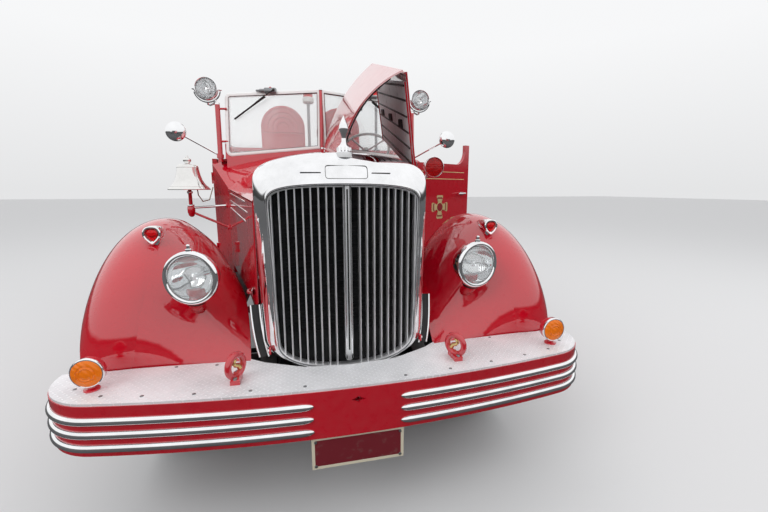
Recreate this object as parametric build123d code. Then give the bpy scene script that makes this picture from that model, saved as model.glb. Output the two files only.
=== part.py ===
from build123d import *
import os
from math import atan2, cos, pi, radians, sin, sqrt

# Open-cab fire engine with a pump and hose body, standing as it parks, in millimetres.
# X points to the vehicle's left, Y to its rear, Z up. The origin is on the ground, on the
# centre plane, at half the overall length. Stations (names with t) count rearward from the
# front face of the bumper, heights (names with z) count up from the ground.

LENGTH = 8000.0          # bumper face to tailboard edge
WIDTH = 2560.0           # over the bumper, its widest piece
WHEELBASE = 0.6 * LENGTH
FRONT_AXLE_T = 1020.0
REAR_AXLE_T = FRONT_AXLE_T + WHEELBASE

CLEAR = 0.3              # between pieces that lie against each other
RUNNING = 0.05           # between a shaft and its bore
GAP = 8.0                # round doors and lids
SHEET = 10.0             # pressed panels

# Tyres and wheels
TYRE_R = 515.0
TYRE_W = 256.0
RIM_R = 254.0
RIM_HALF_W = 88.0
RIM_FLANGE = 10.0
RIM_FLANGE_R = 272.0
RIM_WALL = 9.0
DISC = 10.0
HAND_HOLES = 8
HAND_HOLE_R = 25.0
HUB_R = 75.0
SPINDLE_R = 36.0
DRUM_R = 196.0
FRONT_WHEEL_X = 980.0
REAR_WHEEL_X = 890.0
DUAL_SPACING = 300.0
KINGPIN_X = 830.0
KINGPIN_R = 22.0

# Frame
RAIL_X = 430.0
RAIL_W = 78.0
RAIL_T = 8.0
RAIL_TOP_Z = 860.0
RAIL_BOTTOM_Z = 640.0
HORN_TOP_Z = 680.0
HORN_BOTTOM_Z = 500.0
RAIL_FRONT_T = 60.0
HORN_T = 380.0
RAIL_STEP_T = 760.0
RAIL_REAR_T = LENGTH - 300
CROSS_D = 90.0
# station, middle height and depth of each cross member
CROSS_MEMBERS = [(95.0, 590.0, 120.0), (480.0, 684.0, 60.0), (2150.0, 790.0, 90.0), (3000.0, 790.0, 90.0),
                 (REAR_AXLE_T - 1520, 790.0, 90.0), (REAR_AXLE_T - 520, 790.0, 90.0),
                 (REAR_AXLE_T + 580, 790.0, 90.0), (RAIL_REAR_T - 100, 790.0, 90.0)]

# Springs and axles
SPRING_W = 70.0
FRONT_SPRING_X = 388.0
REAR_SPRING_X = 486.0
FRONT_SPRING_HALF = 480.0
REAR_SPRING_HALF = 620.0
LEAF = 12.0
FRONT_LEAVES = 4
REAR_LEAVES = 6
FRONT_SPRING_Z = 478.0
REAR_SPRING_Z = 586.0
SPRING_CAMBER = 70.0
BEAM_D = 80.0
BEAM_H = 84.0
BEAM_Z = 400.0
AXLE_TUBE_R = 62.0
BANJO_R = 190.0
STEER_ARM = 190.0
TIE_ROD_R = 17.0
TIE_ROD_EYE_R = 18.0
TIE_ROD_Z = 400.0

# Bumper and deck
BUMPER_BOTTOM_Z = 487.0
BUMPER_TOP_Z = 700.0
BUMPER_FACE_R = 5900.0
BUMPER_CORNER_R = 270.0
BUMPER_END_T = 395.0
BUMPER_D = 40.0
DECK_T = 10.0
STRIPS_Z = [522.0, 580.0, 638.0]
STRIP_H = 33.0
STRIP_PROUD = 14.0
STRIP_INNER_X = 188.0
STRIP_NOSE = 52.0
STRIP_END_GAP = 12.0
CRANK_Z = 649.0
CRANK_R = 13.0
CRANK_SLOT = (33.0, 11.0)
HOOK_X = 508.0
HOOK_T = 150.0
PLATE_W = 406.0
PLATE_H = 140.0
PLATE_Z = 338.0
SIGNAL_X = 1080.0
SIGNAL_T = 218.0
SIGNAL_Z = 792.0
SIGNAL_R = 62.0

# Radiator shell, grille and hood
SHELL_T = 255.0
SHELL_REAR_T = 450.0
SHELL_BOW_R = 1400.0
SHELL_WALL = 12.0
GRILLE_HALF_W = 352.0
GRILLE_TOP_Z = 1537.0
GRILLE_BOTTOM_Z = 662.0
GRILLE_HIP_Z = 830.0
GRILLE_HIP_HALF_W = 334.0
GRILLE_CORNER_R = 62.0
GRILLE_DEPTH = 30.0
GRILLE_SET_BACK = 12.0
BARS_A_SIDE = 9
BAR_FIRST_X = 58.0
BAR_PITCH = 35.0
BAR_W = 7.0
CENTRE_BAR_W = 40.0
CAP_T = 350.0
CAP_R = 36.0
FINIAL_TOP_Z = 1861.0
HOOD_REAR_T = 1640.0
HOOD_Z0 = 1702.0
HOOD_Z1 = 1800.0
HOOD_HALF0 = 432.0
HOOD_HALF1 = 720.0
HOOD_SHOULDER_Z0 = 1470.0
HOOD_SHOULDER_Z1 = 1530.0
HOOD_SILL_Z = 960.0
HOOD_SHEET = 8.0
HOOD_FLARE = 6.0
HOOD_ROD_R = 5.0
RIDGE_ROD_R = 5.6
APRON_Z = 740.0
HOOD_RAISE = 81.0
HOOD_HANG = 72.0

# Engine bay
FAN_T = 600.0
FAN_Z = 1150.0
FAN_SHAFT_R = 14.0
SHAFT_T = 2080.0
SHAFT_Z = 690.0
SHAFT_R = 38.0

# Fenders
FENDER_OUT_X = WIDTH / 2 - 75
FENDER_AXIS_T = 1050.0
FENDER_AXIS_Z = 620.0
FENDER_GAP = 14.0
REAR_FENDER_R = 600.0

# Front lamps, as X, station and height of the lens
HEADLAMP_PLACE = (705.0, 355.0, 1130.0)
HEADLAMP_R = 125.0
HEADLAMP_DEPTH = 150.0
MARKER_PLACE = (985.0, 762.0, 1292.0)

# Running boards
BOARD_Z = 500.0
BOARD_T = 30.0
BOARD_IN_X = 700.0
BOARD_OUT_X = 1150.0
BOARD_T0 = 1700.0
BOARD_T1 = REAR_AXLE_T - 760

# Cab
CAB_HALF = 880.0
CAB_WALL = 36.0
COWL_T = 1650.0
DOOR_T0 = 1960.0
DOOR_T1 = 2700.0
CAB_REAR_T = 3040.0
FLOOR_Z = 1000.0
SILL_Z = 880.0
DOOR_TOP_Z = 1770.0
DOOR_CORNER_Z = 1965.0
DOOR_OPEN = 63.0
DOOR_HINGE_X = CAB_HALF + 4
DOOR_HINGE_T = DOOR_T0 - 4
HINGE_H = 90.0
HINGE_R = 9.0
HINGE_PIN_R = 4.0
SEAT_HALF = CAB_HALF - 100
SEAT_T0 = 2420.0
SEAT_BACK_T = 2900.0
SEAT_BOX_Z = 1340.0
SEAT_THICK = 140.0
SEAT_TOP_Z = 1900.0
COWL_TOP_Z = 1838.0
COWL_SHOULDER_Z = 1730.0
SCREEN_TOP_Z = 2305.0
SCREEN_HALF = 790.0
SCREEN_MID_T = 1735.0
SCREEN_END_T = 1890.0
SCREEN_LEAN = 0.11
SCREEN_FRAME = 22.0
POST_R = 19.0
POST_FOOT = (800.0, 1880.0, 1740.0)
POST_TOP = (800.0, 1905.0, 2180.0)

# Upper lamps and mirrors, as X, station and height
SPOT_PLACE = (870.0, 1884.0, 2294.0)
SPOT_R = 88.0
MIRROR_PLACE = (1080.0, 1750.0, 1950.0)
MIRROR_R = 72.0
WARNING_PLACE = (944.0, 1700.0, 1712.0)
WARNING_R = 90.0

# Ladder, suction hoses and hand rails
HOSE_R = 68.0
HOSE_T0 = 4080.0
HOSE_T1 = LENGTH - 820
HOSES_Z = (1330.0, 1520.0)
LADDER_T0 = 4000.0
LADDER_T1 = LENGTH - 500
LADDER_Z = (1320.0, 1680.0)
LADDER_OUT = 30.0
RUNG_PITCH = 330.0
BRACKETS_T = (4400.0, 3200 + 0.3 * LENGTH, LENGTH - 1200)
RAIL_Z = 1840.0

# Bell, as X, station and height of the mouth's middle
BELL_PLACE = (-1008.0, 1715.0, 1520.0)

# Pump and hose body
PUMP_T0 = 3060.0
PUMP_T1 = 3820.0
PUMP_HALF = 930.0
PUMP_TOP_Z = 1950.0
BED_T0 = 3840.0
BED_T1 = LENGTH - 180
BED_HALF = 600.0
BED_FLOOR_Z = 930.0
BED_TOP_Z = 1760.0
BED_WALL = 30.0
LOCKER_T0 = 3900.0
LOCKER_T1 = REAR_AXLE_T - 780
LOCKER_OUT_X = 1140.0
LOCKER_TOP_Z = 1150.0
LOCKER_HINGE_X = LOCKER_OUT_X + 22
LOCKER_HINGE_Z = BOARD_Z + BOARD_T + 8.5
LOCKER_KNUCKLE_R = 7.0
TAIL_T0 = LENGTH - 440
REEL_R = 232.0
REEL_W = 300.0
REEL_Z = 2196.0
REEL_T = 3300.0
REEL_AXLE_R = 18.0
REELS_X = (-330.0, 290.0)

os.makedirs("parts", exist_ok=True)


def at(t):
    """Y of a station, which counts rearward from the bumper's face."""
    return t - LENGTH / 2


def block(x, t, z):
    """A block between two X, two stations and two heights."""
    size = (x[1] - x[0], t[1] - t[0], z[1] - z[0])
    centre = ((x[0] + x[1]) / 2, at((t[0] + t[1]) / 2), (z[0] + z[1]) / 2)
    return Pos(*centre) * Box(*size)


def point(x, t, z):
    return Vector(x, at(t), z)


def rod(p, q, r, r2=None):
    """A round bar, or a cone when r2 is given, from p to q."""
    start, end = Vector(*p), Vector(*q)
    plane = Plane(origin=start, z_dir=end - start)
    length = (end - start).length
    if r2 is None:
        return plane * Pos(0, 0, length / 2) * Cylinder(r, length)
    return plane * Pos(0, 0, length / 2) * Cone(r, r2, length)


def bent_bar(points, bend, r):
    """A round bar along straight runs joined by arcs."""
    path = FilletPolyline(*points, radius=bend)
    return sweep(Plane(origin=path @ 0, z_dir=path % 0) * Circle(r), path)


def side_profile(outline, x0, x1):
    """A prism whose outline is given as (t, z) pairs, between two X."""
    wire = Polyline(*[(at(t), z) for t, z in outline], close=True)
    face = Plane.YZ.offset(x0) * make_face(wire)
    return extrude(face, x1 - x0)


def front_profile(outline, t0, t1):
    """A prism whose outline is given as (x, z) pairs, between two stations."""
    wire = Polyline(*outline, close=True)
    face = Plane(origin=(0, at(t0), 0), x_dir=(1, 0, 0), z_dir=(0, -1, 0)) * make_face(wire)
    return extrude(face, -(t1 - t0))


def turned(profile, centre_x, t, z):
    """A ring or disc about an axle: profile holds (distance outward, radius) pairs."""
    wire = Polyline(*[(u, r) for u, r in profile], close=True)
    face = make_face(wire)
    solid = revolve(face, axis=Axis.X)
    return Pos(centre_x, at(t), z) * solid


def other_side(shape):
    return mirror(shape, about=Plane.YZ)


def save(node, shape):
    if isinstance(shape, (list, tuple, ShapeList)):
        shape = Compound(children=[part for item in shape for part in item.solids()])
    export_step(shape, f"parts/{node}.step")


def save_pair(node, shape):
    """The left side's piece and its mirror image."""
    save(f"{node}_left", shape)
    save(f"{node}_right", [other_side(solid) for solid in shape.solids()])


def save_both(node, shape):
    """Both sides' pieces in one node, for what never moves."""
    save(node, shape.solids() + other_side(shape).solids())


# Tyres and wheels

def tyre(x, t):
    bead, wall_r = RIM_HALF_W, RIM_FLANGE_R + CLEAR
    outline = (
        Line((-bead, RIM_R + CLEAR), (bead, RIM_R + CLEAR))
        + Line((bead, RIM_R + CLEAR), (bead, wall_r))
        + ThreePointArc((bead, wall_r), (TYRE_W / 2, TYRE_R * 0.745), (TYRE_W * 0.41, TYRE_R - 14))
        + ThreePointArc((TYRE_W * 0.41, TYRE_R - 14), (0, TYRE_R), (-TYRE_W * 0.41, TYRE_R - 14))
        + ThreePointArc((-TYRE_W * 0.41, TYRE_R - 14), (-TYRE_W / 2, TYRE_R * 0.745), (-bead, wall_r))
        + Line((-bead, wall_r), (-bead, RIM_R + CLEAR))
    )
    return Pos(x, at(t), TYRE_R) * revolve(make_face(outline), axis=Axis.X)


def rim(x):
    """Rim section as (distance outward, radius) pairs round the tyre's middle plane x."""
    seat, lip = RIM_HALF_W + CLEAR, RIM_HALF_W + CLEAR + RIM_FLANGE
    return [(x - lip, RIM_FLANGE_R), (x - lip, RIM_R - RIM_WALL), (x + lip, RIM_R - RIM_WALL),
            (x + lip, RIM_FLANGE_R), (x + seat, RIM_FLANGE_R), (x + seat, RIM_R),
            (x - seat, RIM_R), (x - seat, RIM_FLANGE_R)]


def hand_holes(radius, x0, x1, t):
    holes = []
    for index in range(HAND_HOLES):
        angle = 2 * pi * index / HAND_HOLES
        place = (at(t) + radius * sin(angle), TYRE_R + radius * cos(angle))
        holes.append(Pos((x0 + x1) / 2, *place) * Rot(0, 90, 0) * Cylinder(HAND_HOLE_R, x1 - x0))
    return holes


def front_wheel():
    x = FRONT_WHEEL_X
    hub_in, hub_out = KINGPIN_X + 75, FRONT_WHEEL_X + 95
    bore = SPINDLE_R + RUNNING
    disc = [(-30, RIM_R - RIM_WALL), (-30, RIM_R - RIM_WALL - 14), (10, 190), (10, 130), (-15, 105),
            (-15, bore + 20), (-15 - DISC, bore + 20), (-15 - DISC, 105), (10 - DISC, 130),
            (10 - DISC, 190), (-30 - DISC, RIM_R - RIM_WALL - 14), (-30 - DISC, RIM_R - RIM_WALL)]
    hub = [(hub_in - x, bore), (hub_in - x, HUB_R), (-10, HUB_R), (60, HUB_R - 12),
           (hub_out - x, HUB_R - 20), (hub_out - x, 0), (hub_out - x - 15, 0), (hub_out - x - 15, bore)]
    drum = [(-90, DRUM_R), (-30, DRUM_R), (-30, HUB_R - 5), (-42, HUB_R - 5), (-42, DRUM_R - 12),
            (-90, DRUM_R - 12)]
    shape = turned(rim(0), x, FRONT_AXLE_T, TYRE_R)
    for outline in (disc, hub, drum):
        shape += turned(outline, x, FRONT_AXLE_T, TYRE_R)
    for hole in hand_holes(160, x - 5, x + 30, FRONT_AXLE_T):
        shape -= hole
    return shape


def rear_wheels():
    """Both rims of a pair with the hub between them, one solid."""
    x, half = REAR_WHEEL_X, DUAL_SPACING / 2
    bore = SPINDLE_R + 14 + RUNNING
    rims = turned(rim(-half), x, REAR_AXLE_T, TYRE_R) + turned(rim(half), x, REAR_AXLE_T, TYRE_R)
    disc = [(half - 60, RIM_R - RIM_WALL), (half - 60, 232), (20, 190), (20, bore + 10),
            (-20, bore + 10), (-20, 190), (-half + 60, 232), (-half + 60, RIM_R - RIM_WALL),
            (-half + 60 - DISC, RIM_R - RIM_WALL), (-half + 60 - DISC, 226), (-34, 176), (-34, 84),
            (-34, bore), (34, bore), (34, 84), (34, 176), (half - 60 + DISC, 226),
            (half - 60 + DISC, RIM_R - RIM_WALL)]
    web = [(-half + 60 - DISC, RIM_R - RIM_WALL), (-half + 60 - DISC, 226), (-12, 180), (-12, bore),
           (12, bore), (12, 180), (half - 60 + DISC, 226), (half - 60 + DISC, RIM_R - RIM_WALL),
           (half - 60, RIM_R - RIM_WALL), (half - 60, 229), (8, 186), (-8, 186), (-half + 60, 229),
           (-half + 60, RIM_R - RIM_WALL)]
    hub = [(-half - 40, bore), (-half - 40, HUB_R + 10), (60, HUB_R + 10), (150, HUB_R - 5),
           (215, HUB_R - 15), (215, 0), (200, 0), (200, bore)]
    shape = rims + turned(web, x, REAR_AXLE_T, TYRE_R) + turned(hub, x, REAR_AXLE_T, TYRE_R)
    return shape


save_pair("tyre_front", tyre(FRONT_WHEEL_X, FRONT_AXLE_T))
inner_tyre = tyre(REAR_WHEEL_X - DUAL_SPACING / 2, REAR_AXLE_T)
outer_tyre = tyre(REAR_WHEEL_X + DUAL_SPACING / 2, REAR_AXLE_T)
save("tyres_rear_left", [inner_tyre, outer_tyre])
save("tyres_rear_right", [other_side(inner_tyre), other_side(outer_tyre)])
save_pair("wheel_front", front_wheel())
save_pair("wheels_rear", rear_wheels())


# Frame

RAIL_OUTLINE = [(RAIL_FRONT_T, HORN_BOTTOM_Z), (RAIL_FRONT_T, HORN_TOP_Z), (HORN_T, HORN_TOP_Z),
                (RAIL_STEP_T, RAIL_TOP_Z), (RAIL_REAR_T, RAIL_TOP_Z), (RAIL_REAR_T, RAIL_BOTTOM_Z),
                (HORN_T + 180, RAIL_BOTTOM_Z), (HORN_T, HORN_BOTTOM_Z)]


def frame_rail():
    """Pressed channel, open towards the middle."""
    face = Plane.YZ.offset(RAIL_X - RAIL_W) * make_face(
        Polyline(*[(at(t), z) for t, z in RAIL_OUTLINE], close=True))
    solid = extrude(face, RAIL_W)
    inside = extrude(offset(face, -RAIL_T), RAIL_W - RAIL_T)
    return solid - inside


def cross_members():
    half = RAIL_X - RAIL_T - CLEAR
    return [block((-half, half), (t, t + CROSS_D), (z - h / 2, z + h / 2)) for t, z, h in CROSS_MEMBERS]


save("frame", [frame_rail(), other_side(frame_rail())] + cross_members())


# Springs and axles

def leaf_spring(x, t, half, z, leaves):
    """A pack of bowed leaves, each shorter than the one above it."""
    pack = None
    for index in range(leaves):
        reach = half * (1 - 0.72 * index / leaves)
        rise = SPRING_CAMBER * (reach / half) ** 2
        low = z + LEAF * (leaves - 1 - index)
        outline = (
            ThreePointArc((at(t) - reach, low + rise), (at(t), low), (at(t) + reach, low + rise))
            + Line((at(t) + reach, low + rise), (at(t) + reach, low + rise + LEAF))
            + ThreePointArc((at(t) + reach, low + rise + LEAF), (at(t), low + LEAF),
                            (at(t) - reach, low + rise + LEAF))
            + Line((at(t) - reach, low + rise + LEAF), (at(t) - reach, low + rise))
        )
        leaf = extrude(Plane.YZ.offset(x - SPRING_W / 2) * make_face(outline), SPRING_W)
        pack = leaf if pack is None else pack + leaf
    end_z = z + SPRING_CAMBER + LEAF * leaves - 4
    for end in (t - half, t + half - 30):
        if x < RAIL_X:
            pack += block((x - 20, x + 20), (end, end + 30), (end_z - LEAF, rail_bottom(end) - CLEAR))
        else:
            pack += block((RAIL_X + CLEAR, x + SPRING_W / 2), (end, end + 30), (end_z - LEAF, end_z + 40))
    return pack


def rail_bottom(t):
    """Underside of the frame rail at the lower end of a 30 mm bracket."""
    if t > HORN_T + 180:
        return RAIL_BOTTOM_Z
    return HORN_BOTTOM_Z + (RAIL_BOTTOM_Z - HORN_BOTTOM_Z) * (t - HORN_T) / 180


def front_axle():
    """Forged beam with dropped ends and a boss for each kingpin."""
    top = BEAM_Z + BEAM_H / 2
    bottom = BEAM_Z - BEAM_H / 2
    end = TYRE_R - BEAM_H / 2
    outline = [(-600, bottom), (600, bottom), (KINGPIN_X - 60, end), (KINGPIN_X, end),
               (KINGPIN_X, end + BEAM_H), (KINGPIN_X - 60, end + BEAM_H), (560, top), (-560, top),
               (-KINGPIN_X + 60, end + BEAM_H), (-KINGPIN_X, end + BEAM_H), (-KINGPIN_X, end),
               (-KINGPIN_X + 60, end)]
    half = BEAM_D / 2
    beam = front_profile(outline, FRONT_AXLE_T - half, FRONT_AXLE_T + half)
    web = BEAM_D / 2 - 12
    for t0, t1 in ((-half - 1, -half + web), (half - web, half + 1)):
        beam -= block((-540, 540), (FRONT_AXLE_T + t0, FRONT_AXLE_T + t1), (bottom + 16, top - 16))
    for side in (-1, 1):
        x = side * KINGPIN_X
        beam += rod(point(x, FRONT_AXLE_T, end), point(x, FRONT_AXLE_T, end + BEAM_H), 44)
        beam -= rod(point(x, FRONT_AXLE_T, end - 1), point(x, FRONT_AXLE_T, end + BEAM_H + 1),
                    KINGPIN_R + RUNNING)
        pad_x = side * FRONT_SPRING_X
        beam += block((pad_x - 45, pad_x + 45), (FRONT_AXLE_T - 60, FRONT_AXLE_T + 60),
                      (top - 14, FRONT_SPRING_Z - CLEAR))
    return beam


def rear_axle():
    """Banjo housing with tubes, spring pads and the spindles that the hubs turn on."""
    housing = turned([(-150, 0), (-150, 130), (-90, BANJO_R), (90, BANJO_R), (150, 130), (150, 0)],
                     0, REAR_AXLE_T, TYRE_R)
    nose = rod(point(0, REAR_AXLE_T - 330, TYRE_R + 10), point(0, REAR_AXLE_T, TYRE_R + 10), 78, 130)
    reach = REAR_WHEEL_X - DUAL_SPACING / 2 - 46
    tube = Pos(0, at(REAR_AXLE_T), TYRE_R) * Rot(0, 90, 0) * Cylinder(AXLE_TUBE_R, 2 * reach)
    spindle = Pos(0, at(REAR_AXLE_T), TYRE_R) * Rot(0, 90, 0) * Cylinder(
        SPINDLE_R + 14, 2 * (REAR_WHEEL_X + 190))
    shape = housing + nose + tube + spindle
    for side in (-1, 1):
        pad_x = side * REAR_SPRING_X
        shape += block((pad_x - 45, pad_x + 45), (REAR_AXLE_T - 90, REAR_AXLE_T + 90),
                       (TYRE_R - 30, REAR_SPRING_Z - CLEAR))
        x0 = side * (REAR_WHEEL_X - DUAL_SPACING / 2 - 160)
        plate = Pos(x0, at(REAR_AXLE_T), TYRE_R) * Rot(0, 90, 0) * Cylinder(DRUM_R, 10)
        shape += plate
    return shape


def knuckle():
    """Yoke round the beam's boss, its pin, the wheel's spindle and the steering arm."""
    low, high = TYRE_R - BEAM_H / 2 - CLEAR, TYRE_R + BEAM_H / 2 + CLEAR
    x, t = KINGPIN_X, FRONT_AXLE_T
    shape = rod(point(x, t, low - 34), point(x, t, high + 34), KINGPIN_R)
    shape += rod(point(x, t, low - 34), point(x, t, low), 44)
    shape += rod(point(x, t, high), point(x, t, high + 34), 44)
    shape += block((x + 50, x + 74), (t - 44, t + 44), (low - 34, high + 34))
    shape += block((x, x + 60), (t - 40, t + 40), (low - 34, low))
    shape += block((x, x + 60), (t - 40, t + 40), (high, high + 34))
    end = FRONT_WHEEL_X + 76
    shape += rod(point(x + 70, t, TYRE_R), point(end, t, TYRE_R), SPINDLE_R)
    shape += Pos(x + 66, at(t), TYRE_R) * Rot(0, 90, 0) * Cylinder(DRUM_R - 20, 8)
    arm_x, arm_t = TIE_ROD_X, t + STEER_ARM
    shape += rod(point(x, t + 20, low - 20), point(arm_x, arm_t, low - 20), 20, 15)
    shape += rod(point(arm_x, arm_t, TIE_ROD_Z + 32), point(arm_x, arm_t, low - 4), 22)
    shape += rod(point(arm_x, arm_t, TIE_ROD_Z - 22), point(arm_x, arm_t, TIE_ROD_Z + 40), 10)
    return shape


TIE_ROD_X = KINGPIN_X


def tie_rod():
    t = FRONT_AXLE_T + STEER_ARM
    shape = rod(point(-TIE_ROD_X, t, TIE_ROD_Z), point(TIE_ROD_X, t, TIE_ROD_Z), TIE_ROD_R)
    for side in (-1, 1):
        x = side * TIE_ROD_X
        shape += rod(point(x, t, TIE_ROD_Z - 26), point(x, t, TIE_ROD_Z + 26), TIE_ROD_EYE_R)
        shape -= rod(point(x, t, TIE_ROD_Z - 27), point(x, t, TIE_ROD_Z + 27), 10 + RUNNING)
    return shape


front_spring = leaf_spring(FRONT_SPRING_X, FRONT_AXLE_T, FRONT_SPRING_HALF, FRONT_SPRING_Z, FRONT_LEAVES)
rear_spring = leaf_spring(REAR_SPRING_X, REAR_AXLE_T, REAR_SPRING_HALF, REAR_SPRING_Z, REAR_LEAVES)
save("leaf_springs", [front_spring, other_side(front_spring), rear_spring, other_side(rear_spring)])
save("front_axle", front_axle())
save("rear_axle", rear_axle())
save_pair("knuckle", knuckle())
save("tie_rod", tie_rod())


# Bumper, deck and what they carry

def bumper_plan(inset, back_t):
    """Plan set in from the bumper's face: a swept front, round corners and straight ends."""
    round_x = WIDTH / 2 - BUMPER_CORNER_R
    round_y = at(BUMPER_FACE_R) - sqrt((BUMPER_FACE_R - BUMPER_CORNER_R) ** 2 - round_x ** 2)
    radius = BUMPER_CORNER_R - inset

    def corner(angle):
        return round_x + radius * sin(angle), round_y - radius * cos(angle)

    lean = atan2(round_x, at(BUMPER_FACE_R) - round_y)
    meet, knee, side = corner(lean), corner((lean + pi / 2) / 2), corner(pi / 2)
    back = (side[0], at(back_t))
    return meet, knee, side, back


def across(place):
    return -place[0], place[1]


def bumper_face(inset, back_t):
    meet, knee, side, back = bumper_plan(inset, back_t)
    return make_face(
        ThreePointArc(across(meet), (0, at(inset)), meet) + ThreePointArc(meet, knee, side) + Line(side, back)
        + Line(back, across(back)) + Line(across(back), across(side))
        + ThreePointArc(across(side), across(knee), across(meet)))


def bumper_band(front, back, z0, z1):
    """A band that follows the bumper from end to end."""
    face = bumper_face(front, BUMPER_END_T) - bumper_face(back, BUMPER_END_T + 50)
    return Pos(0, 0, z0) * extrude(face, z1 - z0)


def bumper():
    """Channelled face with its brackets and the hole for the starting crank."""
    shape = bumper_band(0, BUMPER_D, BUMPER_BOTTOM_Z, BUMPER_TOP_Z)
    reach, rise = CRANK_SLOT
    shape -= front_profile([(-reach, CRANK_Z), (0, CRANK_Z + rise), (reach, CRANK_Z), (0, CRANK_Z - rise)],
                           -BUMPER_D, 2 * BUMPER_D)
    shape -= rod(point(0, -BUMPER_D, CRANK_Z), point(0, 2 * BUMPER_D, CRANK_Z), CRANK_R)
    bracket = block((RAIL_X + CLEAR, RAIL_X + 16), (BUMPER_D, 210), (HORN_BOTTOM_Z + 30, HORN_TOP_Z - 20))
    return shape + bracket + other_side(bracket)


def deck():
    """Plate from the bumper's top back to the fenders, cut out round the grille."""
    back = 520
    face = bumper_face(4, back)
    sheet = Pos(0, 0, BUMPER_TOP_Z + CLEAR) * extrude(face, DECK_T)
    toe = fender_toe()
    ends = block((FENDER_SECTIONS[0][3] + GAP, WIDTH), (BUMPER_END_T, back + 50), (BUMPER_BOTTOM_Z, LENGTH))
    for cut in (toe, ends):
        sheet = sheet - cut - other_side(cut)
    cut = Polyline((-470, at(372)), (-400, at(318)), (-220, at(228)), (0, at(206)), (220, at(228)),
                   (400, at(318)), (470, at(372)), (470, at(700)), (-470, at(700)), close=True)
    sheet -= Pos(0, 0, BUMPER_TOP_Z - 5) * extrude(make_face(cut), 30)
    return sheet


def strip(z):
    """Half-round moulding with a pointed inner end, wrapped round the bumper's corner."""
    meet, knee, side, back = bumper_plan(-CLEAR, BUMPER_END_T - STRIP_END_GAP)
    radius = BUMPER_FACE_R + CLEAR
    start_x = STRIP_INNER_X + STRIP_NOSE
    start = (start_x, at(BUMPER_FACE_R) - sqrt(radius ** 2 - start_x ** 2))
    half_x = (start_x + meet[0]) / 2
    middle = (half_x, at(BUMPER_FACE_R) - sqrt(radius ** 2 - half_x ** 2))
    path = ThreePointArc(start, middle, meet) + ThreePointArc(meet, knee, side) + Line(side, back)
    path = Pos(0, 0, z) * path
    plane = Plane(origin=(start[0], start[1], z), x_dir=(0, 0, 1), z_dir=path % 0)
    outline = EllipticalCenterArc((0, 0), STRIP_H / 2, STRIP_PROUD, start_angle=0, arc_size=180)
    section = plane * make_face(outline + Line(outline @ 1, outline @ 0))
    run = sweep(section, path)
    nose = scale(Sphere(1), by=(STRIP_NOSE, STRIP_PROUD, STRIP_H / 2))
    nose = Pos(start[0], start[1], z) * Rot(0, 0, atan2(start_x, radius) * 180 / pi) * nose
    nose -= Pos(0, 0, BUMPER_BOTTOM_Z) * extrude(bumper_face(-CLEAR, BUMPER_END_T), BUMPER_TOP_Z)
    return run + nose


def strips():
    bands = []
    for z in STRIPS_Z:
        band = strip(z)
        bands += [band, other_side(band)]
    return bands


def tow_hooks():
    """Hooks bolted on the deck, each an upright ring with its foot."""
    shapes = []
    for side in (-1, 1):
        x, z = side * HOOK_X, BUMPER_TOP_Z + DECK_T + 2 * CLEAR
        ring = Pos(x, at(HOOK_T), z + 62) * Rot(0, 90, 0) * Torus(38, 13)
        foot = block((x - 20, x + 20), (HOOK_T - 45, HOOK_T + 45), (z, z + 26))
        shapes.append(ring + foot)
    return shapes


def turn_signals():
    shapes = []
    for side in (-1, 1):
        x, z = side * SIGNAL_X, BUMPER_TOP_Z + DECK_T + 2 * CLEAR
        body = Pos(x, at(SIGNAL_T), SIGNAL_Z) * Rot(90, 0, 0) * Cylinder(SIGNAL_R, 60)
        stalk = rod(point(x, SIGNAL_T, z), point(x, SIGNAL_T, SIGNAL_Z), 12)
        shapes.append(body + stalk)
    return shapes


save("bumper", bumper())
save("bumper_strips", strips())
save("tow_hooks", tow_hooks())
save("number_plate", block((-PLATE_W / 2, PLATE_W / 2), (10, 14), (PLATE_Z, BUMPER_BOTTOM_Z - CLEAR)))


# Radiator shell and grille

def shell_section(t, hip, hip_z, bottom_z, shoulder, shoulder_z, top_z, corner, grow=0.0):
    """Outline of the shell at a station: bowed bottom, tapered sides, crowned top."""
    hip, shoulder = hip + grow, shoulder + grow
    bottom_z, top_z = bottom_z - grow, top_z + grow
    outline = (
        ThreePointArc((-hip, hip_z), (0, bottom_z), (hip, hip_z))
        + Line((hip, hip_z), (shoulder, shoulder_z))
        + ThreePointArc((shoulder, shoulder_z), (0, top_z), (-shoulder, shoulder_z))
        + Line((-shoulder, shoulder_z), (-hip, hip_z))
    )
    face = make_face(outline)
    high = face.vertices().filter_by(lambda v: v.Y > shoulder_z - 1)
    face = fillet(high, corner)
    plane = Plane(origin=(0, at(t), 0), x_dir=(1, 0, 0), z_dir=(0, -1, 0))
    return plane * face


def bow(radius_change, z0=400, z1=2000):
    centre = Pos(0, at(SHELL_T + SHELL_BOW_R), (z0 + z1) / 2)
    return centre * Cylinder(SHELL_BOW_R + radius_change, z1 - z0)


SHELL_FRONT = (378.0, 800.0, 634.0, 386.0, 1560.0, 1694.0, 60.0)
SHELL_REAR = (420.0, 800.0, 700.0, HOOD_HALF0, HOOD_SHOULDER_Z0, HOOD_Z0, 40.0)
OPENING = (GRILLE_HIP_HALF_W, GRILLE_HIP_Z, GRILLE_BOTTOM_Z, GRILLE_HALF_W, GRILLE_TOP_Z - 30, GRILLE_TOP_Z,
           GRILLE_CORNER_R)


def grille_prism(grow):
    face = shell_section(SHELL_T - 60, *OPENING, grow=grow)
    return extrude(face, -(SHELL_REAR_T - SHELL_T + 20))


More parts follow.
